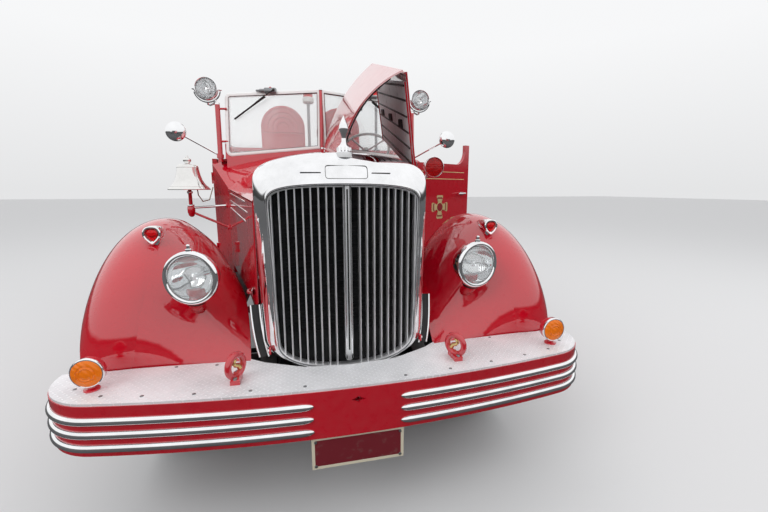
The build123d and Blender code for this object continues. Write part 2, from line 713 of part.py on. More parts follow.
def radiator_shell():
    outer = loft([shell_section(SHELL_T, *SHELL_FRONT), shell_section(SHELL_REAR_T, *SHELL_REAR)])
    inner = loft([shell_section(SHELL_T + 70, *SHELL_FRONT, grow=-SHELL_WALL),
                  shell_section(SHELL_REAR_T + 1, *SHELL_REAR, grow=-SHELL_WALL)])
    shell = (outer & bow(0)) - inner - grille_prism(0)
    foot = block((356, 412), (425, SHELL_REAR_T), (714, 810))
    return shell + foot + other_side(foot) + filler_cap()


def filler_cap():
    """Radiator cap with a plain finial: a neck, a ball and a point."""
    low, high = SHELL_FRONT[5] - 12, FINIAL_TOP_Z
    cap, neck, ball = high - 149, high - 100, high - 56

    def on_top(z):
        return point(0, CAP_T, z)

    shape = rod(on_top(low), on_top(cap), CAP_R)
    shape += rod(on_top(cap - 1), on_top(neck), 0.66 * CAP_R, 0.3 * CAP_R)
    shape += rod(on_top(neck - 1), on_top(ball), 0.3 * CAP_R)
    shape += Pos(0, at(CAP_T), ball) * Sphere(0.6 * CAP_R)
    return shape + rod(on_top(ball + 4), on_top(high), 0.5 * CAP_R, 0.06 * CAP_R)


def grille():
    """Bowed frame in the opening with a broad middle bar and upright blades."""
    zone = bow(-GRILLE_SET_BACK) - bow(-GRILLE_SET_BACK - GRILLE_DEPTH)
    filled = grille_prism(-CLEAR) & zone
    ring = filled - grille_prism(-CLEAR - 12)
    half = CENTRE_BAR_W / 2
    bars = [(-half, half)]
    for index in range(BARS_A_SIDE):
        x = BAR_FIRST_X + BAR_PITCH * index
        bars += [(x - BAR_W / 2, x + BAR_W / 2), (-x - BAR_W / 2, -x + BAR_W / 2)]
    shape = ring
    for low, high in bars:
        shape += filled & block((low, high), (0, 700), (500, 1700))
    return shape


def radiator():
    """Core with its tanks, standing on the frame behind the grille."""
    t0, t1 = SHELL_T + 110, SHELL_T + 180
    shape = block((-315, 315), (t0, t1), (800, 1480))
    shape += block((-200, 200), (t0, t1), (735, 800))
    shape += block((-150, 150), (t1, 540), (735, 755))
    t, z, h = CROSS_MEMBERS[1]
    shape += block((-150, 150), (t + 40, 540), (z + h / 2 + CLEAR, 755))
    return shape


save("radiator_shell", radiator_shell())
save("grille", grille())
save("radiator_core", radiator())


# Hood

def hood_arc(half, shoulder_z, top_z, inset=0.0):
    """Upper half of the hood's cross-section, from the hinge on the ridge to the left shoulder."""
    centre_z = top_z - (half ** 2 + (top_z - shoulder_z) ** 2) / (2 * (top_z - shoulder_z))
    radius = top_z - centre_z - inset
    sweep_angle = atan2(half, shoulder_z - centre_z)
    first = 6.0 / radius
    points = []
    for angle in (first, (first + sweep_angle) / 2, sweep_angle):
        points.append((radius * sin(angle), centre_z + radius * cos(angle)))
    return points


def leaf_face(t, half, shoulder_z, top_z):
    a, b, c = hood_arc(half, shoulder_z, top_z)
    d, e, f = hood_arc(half, shoulder_z, top_z, HOOD_SHEET)
    outline = ThreePointArc(a, b, c) + Line(c, f) + ThreePointArc(f, e, d) + Line(d, a)
    return Plane(origin=(0, at(t), 0), x_dir=(1, 0, 0), z_dir=(0, -1, 0)) * make_face(outline)


HOOD_T0 = SHELL_REAR_T + GAP
HOOD_FRONT = (HOOD_HALF0, HOOD_SHOULDER_Z0, HOOD_Z0)
HOOD_BACK = (HOOD_HALF1, HOOD_SHOULDER_Z1, HOOD_Z1)


RIDGE = Axis(point(0, HOOD_T0, HOOD_Z0), point(0, HOOD_REAR_T, HOOD_Z1) - point(0, HOOD_T0, HOOD_Z0))
# the side leaf's hinge rod lies inside the shoulder
ROD_IN = HOOD_SHEET + HOOD_ROD_R + CLEAR
ROD_DOWN = GAP + HOOD_ROD_R
SHOULDER_A = point(HOOD_HALF0 - ROD_IN, HOOD_T0, HOOD_SHOULDER_Z0 - ROD_DOWN)
SHOULDER_B = point(HOOD_HALF1 - ROD_IN, HOOD_REAR_T, HOOD_SHOULDER_Z1 - ROD_DOWN)
SHOULDER = Axis(SHOULDER_A, SHOULDER_B - SHOULDER_A)


def hood_top():
    """Crowned leaf with the rod that its side leaf hangs from, on three lugs."""
    leaf = loft([leaf_face(HOOD_T0, *HOOD_FRONT), leaf_face(HOOD_REAR_T, *HOOD_BACK)])
    leaf += rod(SHOULDER_A, SHOULDER_B, HOOD_ROD_R)
    for share in (0.04, 0.5, 0.96):
        foot = SHOULDER_A + (SHOULDER_B - SHOULDER_A) * share
        lug = Pos(foot.X - 2, foot.Y, foot.Z + 12.5) * Box(6, 18, 25)
        leaf += lug
    return leaf


def hood_side():
    faces = []
    for t, half, z in ((HOOD_T0, HOOD_HALF0, HOOD_SHOULDER_Z0), (HOOD_REAR_T, HOOD_HALF1, HOOD_SHOULDER_Z1)):
        outline = Polyline((half - HOOD_SHEET, z - GAP), (half, z - GAP), (half + HOOD_FLARE, HOOD_SILL_Z),
                           (half + HOOD_FLARE - HOOD_SHEET, HOOD_SILL_Z), close=True)
        plane = Plane(origin=(0, at(t), 0), x_dir=(1, 0, 0), z_dir=(0, -1, 0))
        faces.append(plane * make_face(outline))
    return loft(faces)


def engine_apron():
    """Panel from the hood's sill down beside the frame rail."""
    faces = []
    for t, half in ((HOOD_T0, HOOD_HALF0), (HOOD_REAR_T, HOOD_HALF1)):
        low_x, top_x, top_z = RAIL_X + CLEAR, half + HOOD_FLARE, HOOD_SILL_Z - 3
        outline = Polyline((top_x - HOOD_SHEET, top_z), (top_x, top_z), (low_x + HOOD_SHEET, APRON_Z),
                           (low_x, APRON_Z), close=True)
        faces.append(Plane(origin=(0, at(t), 0), x_dir=(1, 0, 0), z_dir=(0, -1, 0)) * make_face(outline))
    return loft(faces)


save_both("engine_aprons", engine_apron())
save("hood_top_right", other_side(hood_top()))
save("hood_side_right", other_side(hood_side()))
save("hood_top_left", hood_top().rotate(RIDGE, -HOOD_RAISE))
save("hood_side_left", hood_side().rotate(SHOULDER, HOOD_HANG).rotate(RIDGE, -HOOD_RAISE))


# Engine and driveline

def engine():
    """Block with its head, cover, manifold, sump and gearbox as one solid, on feet on the rails."""
    shape = block((-170, 170), (720, 1500), (760, 1240))
    shape += block((-150, 150), (740, 1480), (1240, 1330))
    shape += block((-90, 90), (760, 1460), (1330, 1400))
    shape += block((-130, 130), (780, 1440), (600, 760))
    shape += block((-RAIL_X + 6, RAIL_X - 6), (1330, 1400), (RAIL_TOP_Z + CLEAR, RAIL_TOP_Z + 34))
    shape += block((-150, 150), (1500, 1640), (640, 1000))
    shape += block((-120, 120), (1640, SHAFT_T), (640, 860))
    for index in range(6):
        t = 800 + 115 * index
        shape += rod(point(170, t, 1180), point(236, t, 1180), 24)
    shape += rod(point(236, 770, 1180), point(236, 1420, 1180), 38)
    shape += rod(point(0, FAN_T - 45, FAN_Z), point(0, 720, FAN_Z), FAN_SHAFT_R)
    return shape


def fan():
    """Hub with six pitched blades."""
    shape = rod(point(0, FAN_T - 40, FAN_Z), point(0, FAN_T + 40, FAN_Z), 44)
    for index in range(6):
        blade = Rot(0, 60 * index, 0) * Pos(0, 0, 150) * Rot(0, 0, 35) * Box(90, 6, 240)
        shape += Pos(0, at(FAN_T), FAN_Z) * blade
    return shape - rod(point(0, FAN_T - 60, FAN_Z), point(0, FAN_T + 60, FAN_Z), FAN_SHAFT_R + RUNNING)


def driveline():
    """Propeller shaft from the gearbox to the rear axle's nose, with a flange at each end."""
    room = 3.2
    start, end = point(0, SHAFT_T + room, SHAFT_Z), point(0, REAR_AXLE_T - 330 - room, TYRE_R + 10)
    along = (end - start).normalized()
    shape = rod(start, end, SHAFT_R)
    for near, reach in ((start, 1), (end, -1)):
        shape += rod(near, near + along * (reach * 30), SHAFT_R + 20)
        shape += rod(near + along * (reach * 60), near + along * (reach * 150), SHAFT_R + 8)
    return shape


save("driveline", driveline())
save("engine", engine())
save("cooling_fan", fan())


# Front fenders

def hood_half(t):
    """Half width of the hood's sill at a station."""
    share = (t - HOOD_T0) / (HOOD_REAR_T - HOOD_T0)
    return HOOD_HALF0 + (HOOD_HALF1 - HOOD_HALF0) * share + HOOD_FLARE


def fender_inner(angle, radius):
    """X of the fender's inner edge, which runs beside the hood's sill."""
    return hood_half(FENDER_AXIS_T - radius * cos(radians(angle))) + FENDER_GAP


# each section's angle up from straight ahead, with its radii about the fender's axis and its X
FENDER_SECTIONS = [
    # angle, skirt r, shoulder r, outer x, crown x, crown r, inner x, inner r
    (6.0, 560.0, 645.0, FENDER_OUT_X - 2, 1000.0, 655.0, 470.0, 690.0),
    (45.0, 560.0, 592.0, FENDER_OUT_X + 25, 935.0, 698.0, fender_inner(45.0, 395.0), 395.0),
    (90.0, 560.0, 612.0, FENDER_OUT_X, 932.0, 714.0, fender_inner(90.0, 322.0), 322.0),
    (135.0, 570.0, 620.0, FENDER_OUT_X - 15, 960.0, 768.0, fender_inner(135.0, 400.0), 400.0),
    (185.8, 690.0, 800.0, FENDER_OUT_X - 60, 1000.0, 882.0, 850.0, 820.0),
]


def fender_path(row, inset):
    """Skirt, shoulder, crown and inner edge as (x, radius) pairs, set in by the inset."""
    angle, skirt, shoulder, out_x, crown_x, crown, in_x, inner = row
    x0 = out_x - inset
    bulge = (crown_x + (x0 - crown_x) * 0.78, shoulder - inset + (crown - shoulder) * 0.72)
    dip = ((crown_x + in_x) / 2, crown - inset - (crown - inner) * 0.34)
    return [(x0, skirt), (x0, shoulder - inset), bulge, (crown_x, crown - inset), dip,
            (in_x, inner - inset)]


def fender_face(row):
    direction = radians(row[0])
    plane = Plane(origin=(0, at(FENDER_AXIS_T), FENDER_AXIS_Z), x_dir=(1, 0, 0),
                  z_dir=Vector(1, 0, 0).cross(Vector(0, -cos(direction), sin(direction))))
    a, b = fender_path(row, 0.0), fender_path(row, SHEET)
    outline = (
        Line(a[0], a[1]) + ThreePointArc(a[1], a[2], a[3]) + ThreePointArc(a[3], a[4], a[5])
        + Line(a[5], b[5]) + ThreePointArc(b[5], b[4], b[3]) + ThreePointArc(b[3], b[2], b[1])
        + Line(b[1], b[0]) + Line(b[0], a[0])
    )
    return plane * make_face(outline)


def front_fender():
    return loft([fender_face(row) for row in FENDER_SECTIONS])


def fender_toe():
    """Room that the fender's toe takes out of the deck."""
    path = [(x, at(FENDER_AXIS_T - r)) for x, r in fender_path(FENDER_SECTIONS[0], -GAP)]
    rear = at(FENDER_AXIS_T)
    outline = (
        Line((path[1][0], rear), path[1]) + ThreePointArc(path[1], path[2], path[3])
        + ThreePointArc(path[3], path[4], path[5]) + Line(path[5], (path[5][0], rear))
        + Line((path[5][0], rear), (path[1][0], rear))
    )
    return Pos(0, 0, BUMPER_TOP_Z - DECK_T) * extrude(make_face(outline), 3 * DECK_T)


save_both("front_fenders", front_fender())
save("bumper_deck", deck())


# Front lamps

def fender_fill(grow):
    """The whole space under a fender's outer skin, grown outward."""
    faces = []
    for row in FENDER_SECTIONS:
        direction = radians(row[0])
        plane = Plane(origin=(0, at(FENDER_AXIS_T), FENDER_AXIS_Z), x_dir=(1, 0, 0),
                      z_dir=Vector(1, 0, 0).cross(Vector(0, -cos(direction), sin(direction))))
        a = fender_path(row, -grow)
        outline = (Line(a[0], a[1]) + ThreePointArc(a[1], a[2], a[3]) + ThreePointArc(a[3], a[4], a[5])
                   + Line(a[5], a[0]))
        faces.append(plane * make_face(outline))
    return loft(faces)


def headlamp():
    """Bowl with its bezel and lens, on a stalk down to the fender."""
    x, t, z = HEADLAMP_PLACE
    outline = (
        Line((0, -14), (HEADLAMP_R - 22, -6)) + Line((HEADLAMP_R - 22, -6), (HEADLAMP_R - 4, -2))
        + Line((HEADLAMP_R - 4, -2), (HEADLAMP_R, 16)) + Line((HEADLAMP_R, 16), (HEADLAMP_R - 9, 24))
        + ThreePointArc((HEADLAMP_R - 9, 24), (HEADLAMP_R * 0.72, 104), (0, HEADLAMP_DEPTH))
        + Line((0, HEADLAMP_DEPTH), (0, -14))
    )
    bowl = Pos(x, at(t), z) * Rot(-90, 0, 0) * revolve(Plane.XZ * make_face(outline), axis=Axis.Z)
    stalk = rod(point(x, t + 70, z - 60), point(x + 20, t + 180, z - 190), 20, 34)
    return bowl + (stalk - fender_fill(CLEAR))


def fender_marker():
    """Small lamp on the crown of each fender."""
    x, t, z = MARKER_PLACE
    body = Pos(x, at(t), z) * Rot(-90, 0, 0) * Pos(0, 0, 40) * Cone(30, 8, 100)
    pod = body + Pos(x, at(t + 20), z - 40) * Box(26, 70, 60)
    return pod - fender_fill(CLEAR)


save_both("headlamps", headlamp())
save("signal_lamps", turn_signals() + [fender_marker(), other_side(fender_marker())])


# Running boards, rear fenders and tailboard

def running_board():
    board = block((BOARD_IN_X, BOARD_OUT_X), (BOARD_T0, BOARD_T1), (BOARD_Z, BOARD_Z + BOARD_T))
    for t in (BOARD_T0 + 200, (BOARD_T0 + BOARD_T1) / 2, BOARD_T1 - 200):
        board += block((RAIL_X + CLEAR, BOARD_OUT_X - 60), (t, t + 60), (BOARD_Z - 40, BOARD_Z))
        board += block((RAIL_X + CLEAR, RAIL_X + 12), (t, t + 60), (BOARD_Z - 40, RAIL_BOTTOM_Z + 80))
    return board


def rear_fender():
    """Half ring over the dual tyres, rolled over on its outer edge."""
    inner, outer_x = REAR_FENDER_R, FENDER_OUT_X
    x0 = BED_HALF + CLEAR
    outline = (
        Line((x0, inner + 60), (outer_x - 90, inner + 60))
        + ThreePointArc((outer_x - 90, inner + 60), (outer_x - 26, inner + 34), (outer_x, inner - 30))
        + Line((outer_x, inner - 30), (outer_x - SHEET, inner - 30))
        + ThreePointArc((outer_x - SHEET, inner - 30), (outer_x - 33, inner + 27), (outer_x - 90, inner + 50))
        + Line((outer_x - 90, inner + 50), (x0, inner + 50))
        + Line((x0, inner + 50), (x0, inner + 60))
    )
    face = Pos(0, at(REAR_AXLE_T), TYRE_R) * make_face(outline)
    axis = Axis((0, at(REAR_AXLE_T), TYRE_R), (1, 0, 0))
    ring = revolve(face, axis=axis, revolution_arc=180)
    return ring


def tailboard():
    board = block((-FENDER_OUT_X, FENDER_OUT_X), (TAIL_T0, LENGTH), (BOARD_Z + 20, BOARD_Z + 50))
    board = fillet(board.edges().filter_by(Axis.Z).group_by(Axis.Y)[-1], 90)
    bracket = block((RAIL_X + CLEAR, RAIL_X + 16), (TAIL_T0 + 20, RAIL_REAR_T), (BOARD_Z + 40, RAIL_TOP_Z - 30))
    return board + bracket + other_side(bracket)


save_both("running_boards", running_board())
save_both("rear_fenders", rear_fender())
save("tailboard", tailboard())


# Cab

def cab_section(t, half, shoulder_z, top_z, bottom_z, inset=0.0):
    outline = (
        Line((-half + inset, bottom_z), (half - inset, bottom_z))
        + Line((half - inset, bottom_z), (half - inset, shoulder_z))
        + ThreePointArc((half - inset, shoulder_z), (0, top_z - inset), (-half + inset, shoulder_z))
        + Line((-half + inset, shoulder_z), (-half + inset, bottom_z))
    )
    return Plane(origin=(0, at(t), 0), x_dir=(1, 0, 0), z_dir=(0, -1, 0)) * make_face(outline)


def cowl_outer(grow=0.0):
    return loft([cab_section(COWL_T, HOOD_HALF1, HOOD_SHOULDER_Z1, HOOD_Z1, SILL_Z, -grow),
                 cab_section(DOOR_T0 - GAP, CAB_HALF, COWL_SHOULDER_Z, COWL_TOP_Z, SILL_Z, -grow)])


def cowl():
    """Hollow cowl with the firewall at its front, open to the cab behind."""
    rear = DOOR_T0 - GAP
    outer = cowl_outer()
    inner = loft([cab_section(COWL_T + CAB_WALL, HOOD_HALF1, HOOD_SHOULDER_Z1, HOOD_Z1, FLOOR_Z, CAB_WALL),
                  cab_section(rear + 1, CAB_HALF, COWL_SHOULDER_Z, COWL_TOP_Z, FLOOR_Z, CAB_WALL)])
    shape = outer - inner
    for side in (1, -1):
        room, lugs = hinge_room(HINGE_R + 5), cowl_hinges()
        shape = shape - (room if side > 0 else other_side(room)) + (lugs if side > 0 else other_side(lugs))
    ridge = Vector(0, HOOD_REAR_T - HOOD_T0, HOOD_Z1 - HOOD_Z0).normalized()
    front = point(0, HOOD_T0, HOOD_Z0) - ridge * (GAP - 1)
    rear = point(0, HOOD_REAR_T, HOOD_Z1) + ridge * (COWL_T - HOOD_REAR_T + 12)
    return shape + rod(front, rear, RIDGE_ROD_R)


def hinge_heights():
    return [(z, z + HINGE_H) for z in (SILL_Z + 110, DOOR_TOP_Z - 200)]


def hinge_room(radius):
    """Round clearance that both the cowl and the door leave about each hinge."""
    rooms = [rod(point(DOOR_HINGE_X, DOOR_HINGE_T, low - 2), point(DOOR_HINGE_X, DOOR_HINGE_T, high + 2), radius)
             for low, high in hinge_heights()]
    return rooms[0] + rooms[1]


def cowl_hinges():
    """Lugs fixed to the cowl above and below each door barrel, with the pin."""
    x, t = DOOR_HINGE_X, DOOR_HINGE_T
    lug_h = HINGE_H * 0.3
    shape = None
    for low, high in hinge_heights():
        part = rod(point(x, t, low), point(x, t, high), HINGE_PIN_R)
        for z0, z1 in ((low, low + lug_h), (high - lug_h, high)):
            part += rod(point(x, t, z0), point(x, t, z1), HINGE_R)
            part += block((x - 30, x + 4), (t - 26, t - 4), (z0, z1))
        shape = part if shape is None else shape + part
    return shape


def door_hinges():
    """Barrels fixed to the door between the cowl's lugs."""
    x, t = DOOR_HINGE_X, DOOR_HINGE_T
    lug_h = HINGE_H * 0.3 + CLEAR
    shape = None
    for low, high in hinge_heights():
        z0, z1 = low + lug_h, high - lug_h
        part = rod(point(x, t, z0), point(x, t, z1), HINGE_R) + block((x - 26, x + 4), (t + 4, t + 26), (z0, z1))
        part -= rod(point(x, t, z0 - 1), point(x, t, z1 + 1), HINGE_PIN_R + RUNNING)
        shape = part if shape is None else shape + part
    return shape


def cab_tub():
    """Floor, rear wall and the quarter panels behind the doors."""
    t0, t1 = DOOR_T0 - GAP + CLEAR, CAB_REAR_T
    shape = block((-CAB_HALF, CAB_HALF), (t0, t1), (SILL_Z - 10, FLOOR_Z))
    for side in (-1, 1):
        x = sorted((side * CAB_HALF, side * (CAB_HALF - CAB_WALL)))
        shape -= block(sorted((side * CAB_HALF, side * (CAB_HALF - CAB_WALL - 12))),
                       (DOOR_T0 - GAP, DOOR_T1 + GAP), (SILL_Z, FLOOR_Z))
        shape += block(x, (DOOR_T1 + GAP, t1), (SILL_Z - 10, DOOR_CORNER_Z))
    shape += block((-CAB_HALF, CAB_HALF), (t1 - CAB_WALL, t1), (SILL_Z - 10, DOOR_CORNER_Z))
    return shape + block((-SEAT_HALF - 20, SEAT_HALF + 20), (SEAT_T0 + 20, t1 - CAB_WALL), (FLOOR_Z, SEAT_BOX_Z))


def door():
    """Panel as thick as the whole door, with its raised rear corner."""
    t0, t1 = DOOR_T0, DOOR_T1
    outline = (
        Line((at(t0), SILL_Z + GAP), (at(t1), SILL_Z + GAP))
        + Line((at(t1), SILL_Z + GAP), (at(t1), DOOR_CORNER_Z))
        + Line((at(t1), DOOR_CORNER_Z), (at(t1 - 60), DOOR_CORNER_Z))
        + Line((at(t1 - 60), DOOR_CORNER_Z), (at(t1 - 60), DOOR_TOP_Z + 130))
        + RadiusArc((at(t1 - 60), DOOR_TOP_Z + 130), (at(t1 - 190), DOOR_TOP_Z), 130)
        + Line((at(t1 - 190), DOOR_TOP_Z), (at(t0), DOOR_TOP_Z))
        + Line((at(t0), DOOR_TOP_Z), (at(t0), SILL_Z + GAP))
    )
    panel = extrude(Plane.YZ.offset(CAB_HALF - CAB_WALL) * make_face(outline), CAB_WALL)
    return panel - hinge_room(HINGE_R + 5) + door_hinges()


save("cowl", cowl())
save("cab_tub", cab_tub())
save("door_right", other_side(door()))
save("door_left", door().rotate(Axis((DOOR_HINGE_X, at(DOOR_HINGE_T), 0), (0, 0, 1)), -DOOR_OPEN))


# Seat, steering wheel and dash

def seat_cushions():
    """Bench cushion and its back rest."""
    x = (-SEAT_HALF, SEAT_HALF)
    low = SEAT_BOX_Z + CLEAR
    return [block(x, (SEAT_T0, SEAT_BACK_T), (low, low + SEAT_THICK)),
            block(x, (SEAT_BACK_T + CLEAR, CAB_REAR_T - CAB_WALL - CLEAR), (low, SEAT_TOP_Z))]


save("seat_cushions", seat_cushions())

WHEEL_CENTRE = (450.0, 2260.0, 1890.0)
WHEEL_TILT = 35.0
WHEEL_R = 225.0
COLUMN_R = 24.0


def steering_wheel():
    place = Pos(WHEEL_CENTRE[0], at(WHEEL_CENTRE[1]), WHEEL_CENTRE[2]) * Rot(-WHEEL_TILT, 0, 0)
    shape = Torus(WHEEL_R, 13) + Cylinder(35, 40)
    for index in range(4):
        shape += Rot(0, 0, 45 + 90 * index) * Pos(WHEEL_R / 2, 0, 0) * Rot(0, 90, 0) * Cylinder(8, WHEEL_R)
    return place * shape


def steering_column():
    place = Pos(WHEEL_CENTRE[0], at(WHEEL_CENTRE[1]), WHEEL_CENTRE[2]) * Rot(-WHEEL_TILT, 0, 0)
    tilt = radians(WHEEL_TILT)
    run = WHEEL_CENTRE[1] - COWL_T - CAB_WALL - CLEAR - COLUMN_R * cos(tilt)
    length = run / sin(tilt) - 21
    return place * Pos(0, 0, -21 - length / 2) * Cylinder(COLUMN_R, length)


save("steering_wheel", steering_wheel())
save("steering_column", steering_column())


# Windshield

def windshield():
    """One side's raked pane in its frame, with the side post that carries it."""
    along = Vector(SCREEN_HALF, SCREEN_END_T - SCREEN_MID_T, 0)
    width = along.length
    x_dir = along.normalized()
    up = Vector(0, SCREEN_LEAN, 1).normalized()
    plane = Plane(origin=point(0, SCREEN_MID_T, COWL_TOP_Z), x_dir=x_dir, z_dir=x_dir.cross(up))
    top = SCREEN_TOP_Z - COWL_TOP_Z
    outline = Polyline((14, 6), (width - 46, -52), (width - 46, top - 34), (14, top), close=True)
    pane_face = fillet(make_face(outline).vertices().group_by(Axis.X)[-1], 34)
    opening = offset(pane_face, -SCREEN_FRAME)
    surround = extrude(pane_face - opening, SCREEN_FRAME / 2, both=True)
    skirt = Polyline((14, -140), (width - 46, -220), (width - 46, -40), (14, 20), close=True)
    base = extrude(make_face(skirt) - pane_face, SCREEN_FRAME / 2, both=True)
    frame = plane * (surround + base)
    post = rod(point(*POST_FOOT), point(*POST_TOP), POST_R)
    frame = frame + post
    for z in (1900, 2150):
        share = (z - POST_FOOT[2]) / (POST_TOP[2] - POST_FOOT[2])
        x = POST_FOOT[0] + (POST_TOP[0] - POST_FOOT[0]) * share
        t = POST_FOOT[1] + (POST_TOP[1] - POST_FOOT[1]) * share
        frame += rod(point(x, t, z), point(x - 70, t - 14, z), 8)
    frame -= cowl_outer(CLEAR)
    pane = plane * extrude(offset(pane_face, -SCREEN_FRAME - CLEAR), 3, both=True)
    return frame, pane


frame_left, pane_left = windshield()
save("windshield_frame", [frame_left, other_side(frame_left)])
save("windshield_glass", [pane_left, other_side(pane_left)])


# Pump, hose body and lockers

def pump_housing():
    """Housing over the pump, with the stands and axles of both reels on its top."""
    shape = block((-PUMP_HALF, PUMP_HALF), (PUMP_T0, PUMP_T1), (RAIL_TOP_Z + CLEAR, PUMP_TOP_Z))
    shape = fillet(shape.edges().filter_by(Axis.Y).group_by(Axis.Z)[-1], 40)
    reach = REEL_W / 2 + 22
    for x in REELS_X:
        for side in (-1, 1):
            t = sorted((REEL_T + side * reach, REEL_T + side * (reach + 12)))
            shape += block((x - 45, x + 45), t, (PUMP_TOP_Z - 5, REEL_Z + 45))
        shape += rod(point(x, REEL_T - reach - 4, REEL_Z), point(x, REEL_T + reach + 4, REEL_Z), REEL_AXLE_R)
    return shape


def hose_bed():
    """Open-topped bed for hose, with rolled top edges."""
    outer = block((-BED_HALF, BED_HALF), (BED_T0, BED_T1), (RAIL_TOP_Z + CLEAR, BED_TOP_Z))
    outer -= block((-BED_HALF + BED_WALL, BED_HALF - BED_WALL), (BED_T0 + BED_WALL, BED_T1 - BED_WALL),
                   (BED_FLOOR_Z, BED_TOP_Z + 1))
    return outer


def locker_hinges(radius, grow=0.0):
    """Knuckles along the bottom outer edge, as a list for the locker and one for its door."""
    fixed, moving = [], []
    x, z = LOCKER_HINGE_X, LOCKER_HINGE_Z
    for t in (LOCKER_T0 + 120, (LOCKER_T0 + LOCKER_T1) / 2, LOCKER_T1 - 120):
        fixed.append(rod(point(x, t - 15 - grow, z), point(x, t + 15 + grow, z), radius))
        for side in (-1, 1):
            near, far = t + side * (15 + CLEAR), t + side * 38
            moving.append(rod(point(x, near, z), point(x, far, z), radius))
    return fixed, moving


def locker():
    x = (BED_HALF + CLEAR, LOCKER_OUT_X)
    z = (BOARD_Z + BOARD_T + CLEAR, LOCKER_TOP_Z)
    shape = block(x, (LOCKER_T0, LOCKER_T1), z)
    shape -= block((x[0] + 12, x[1] + 1), (LOCKER_T0 + 12, LOCKER_T1 - 12), (z[0] + 12, z[1] - 12))
    for knuckle_rod in locker_hinges(LOCKER_KNUCKLE_R)[0]:
        t = knuckle_rod.center().Y + LENGTH / 2
        shape += knuckle_rod + block((LOCKER_OUT_X - 6, LOCKER_HINGE_X), (t - 15, t + 15),
                                     (z[0] + 1, LOCKER_HINGE_Z))
        shape += rod(point(LOCKER_HINGE_X, t - 38, LOCKER_HINGE_Z), point(LOCKER_HINGE_X, t + 38, LOCKER_HINGE_Z),
                     HINGE_PIN_R)
    return shape


def locker_door():
    shape = block((LOCKER_OUT_X + 2, LOCKER_HINGE_X), (LOCKER_T0 + 6, LOCKER_T1 - 6),
                  (LOCKER_HINGE_Z, LOCKER_TOP_Z - 2))
    for room in locker_hinges(LOCKER_KNUCKLE_R + 3, 3)[0]:
        t = room.center().Y + LENGTH / 2
        shape -= room + block((LOCKER_OUT_X, LOCKER_HINGE_X + 1), (t - 18, t + 18), (BOARD_Z, LOCKER_HINGE_Z + 4))
    for barrel in locker_hinges(LOCKER_KNUCKLE_R)[1]:
        shape += barrel
    for t in (LOCKER_T0 + 120, (LOCKER_T0 + LOCKER_T1) / 2, LOCKER_T1 - 120):
        shape -= rod(point(LOCKER_HINGE_X, t - 39, LOCKER_HINGE_Z), point(LOCKER_HINGE_X, t + 39, LOCKER_HINGE_Z),
                     HINGE_PIN_R + RUNNING)
    return shape


save("pump_housing", pump_housing())
save_both("lockers", locker())
save_pair("locker_door", locker_door())


def reel(x):
    core = Pos(x, at(REEL_T), REEL_Z) * Rot(90, 0, 0)
    shape = core * Cylinder(120, REEL_W)
    for side in (-1, 1):
        shape += core * Pos(0, 0, side * (REEL_W / 2 - 8)) * Cylinder(REEL_R, 16)
    shape += core * Cylinder(190, REEL_W - 60)
    return shape - core * Cylinder(REEL_AXLE_R + RUNNING, REEL_W + 2)


save("hose_reel_right", reel(REELS_X[0]))
save("hose_reel_left", reel(REELS_X[1]))


# Bell

def bell():
    """Cast bell, hollow, on its post with a knob above it."""
    x, t, mouth_z = BELL_PLACE
    outline = (
        Line((0, mouth_z + 150), (0, mouth_z + 190)) + Line((0, mouth_z + 190), (40, mouth_z + 176))
        + Line((40, mouth_z + 176), (66, mouth_z + 130))
        + ThreePointArc((66, mouth_z + 130), (88, mouth_z + 55), (146, mouth_z))
        + Line((146, mouth_z), (136, mouth_z))
        + ThreePointArc((136, mouth_z), (78, mouth_z + 58), (56, mouth_z + 130))
        + Line((56, mouth_z + 130), (0, mouth_z + 150))
    )
    shape = Pos(x, at(t), 0) * revolve(Plane.XZ * make_face(outline), axis=Axis.Z)
    shape += rod(point(x, t, mouth_z + 180), point(x, t, mouth_z + 235), 16, 9)
    shape += rod(point(x, t, mouth_z + 160), point(x, t, mouth_z - 165), 13)
    shape += rod(point(x, t, mouth_z - 120), point(x, t, mouth_z - 175), 26)
    wall = -(HOOD_HALF1 + 20)
    arm = rod(point(x, t, mouth_z - 135), point(wall, t, mouth_z - 120), 9)
    brace = rod(point(x, t, mouth_z - 165), point(wall, t, mouth_z - 290), 9)
    return shape + ((arm + brace) - cowl_outer(CLEAR))


save("bell", bell())


# Upper lamps, mirrors and beacons

def lamp_bowl(place, radius, depth, aim=0.0):
    """A round lamp that faces forward, as a domed bowl behind a flat lens."""
    outline = (
        Line((0, -6), (radius - 8, -2)) + Line((radius - 8, -2), (radius, 8)) + Line((radius, 8), (radius - 6, 20))
        + ThreePointArc((radius - 6, 20), (radius * 0.7, depth * 0.72), (0, depth)) + Line((0, depth), (0, -6))
    )
    return Pos(place[0], at(place[1]), place[2]) * Rot(-90 + aim, 0, 0) * revolve(
        Plane.XZ * make_face(outline), axis=Axis.Z)


def spotlight():
    """Lamp on a bent stem that stands on the windshield post."""
    x, t, z = SPOT_PLACE
    top = point(*POST_TOP)
    along = (top - point(*POST_FOOT)).normalized()
    knee = point(x, t + 60, z - SPOT_R - 22)
    shape = lamp_bowl(SPOT_PLACE, SPOT_R, 120)
    shape += rod(point(x, t + 60, z - SPOT_R * 0.6), knee, 11)
    shape += Pos(knee.X, knee.Y, knee.Z) * Sphere(11)
    shape += rod(knee, top + along * 14, 10)
    return shape + rod(top + along * CLEAR, top + along * 24, POST_R)


def warning_lamp():
    """Red lamp on the left of the cowl."""
    x, t, z = WARNING_PLACE
    shape = lamp_bowl(WARNING_PLACE, WARNING_R, 150)
    arm = rod(point(x, t + 70, z - 40), point(x - 200, t + 90, z - 130), 14)
    return shape + (arm - cowl_outer(CLEAR))


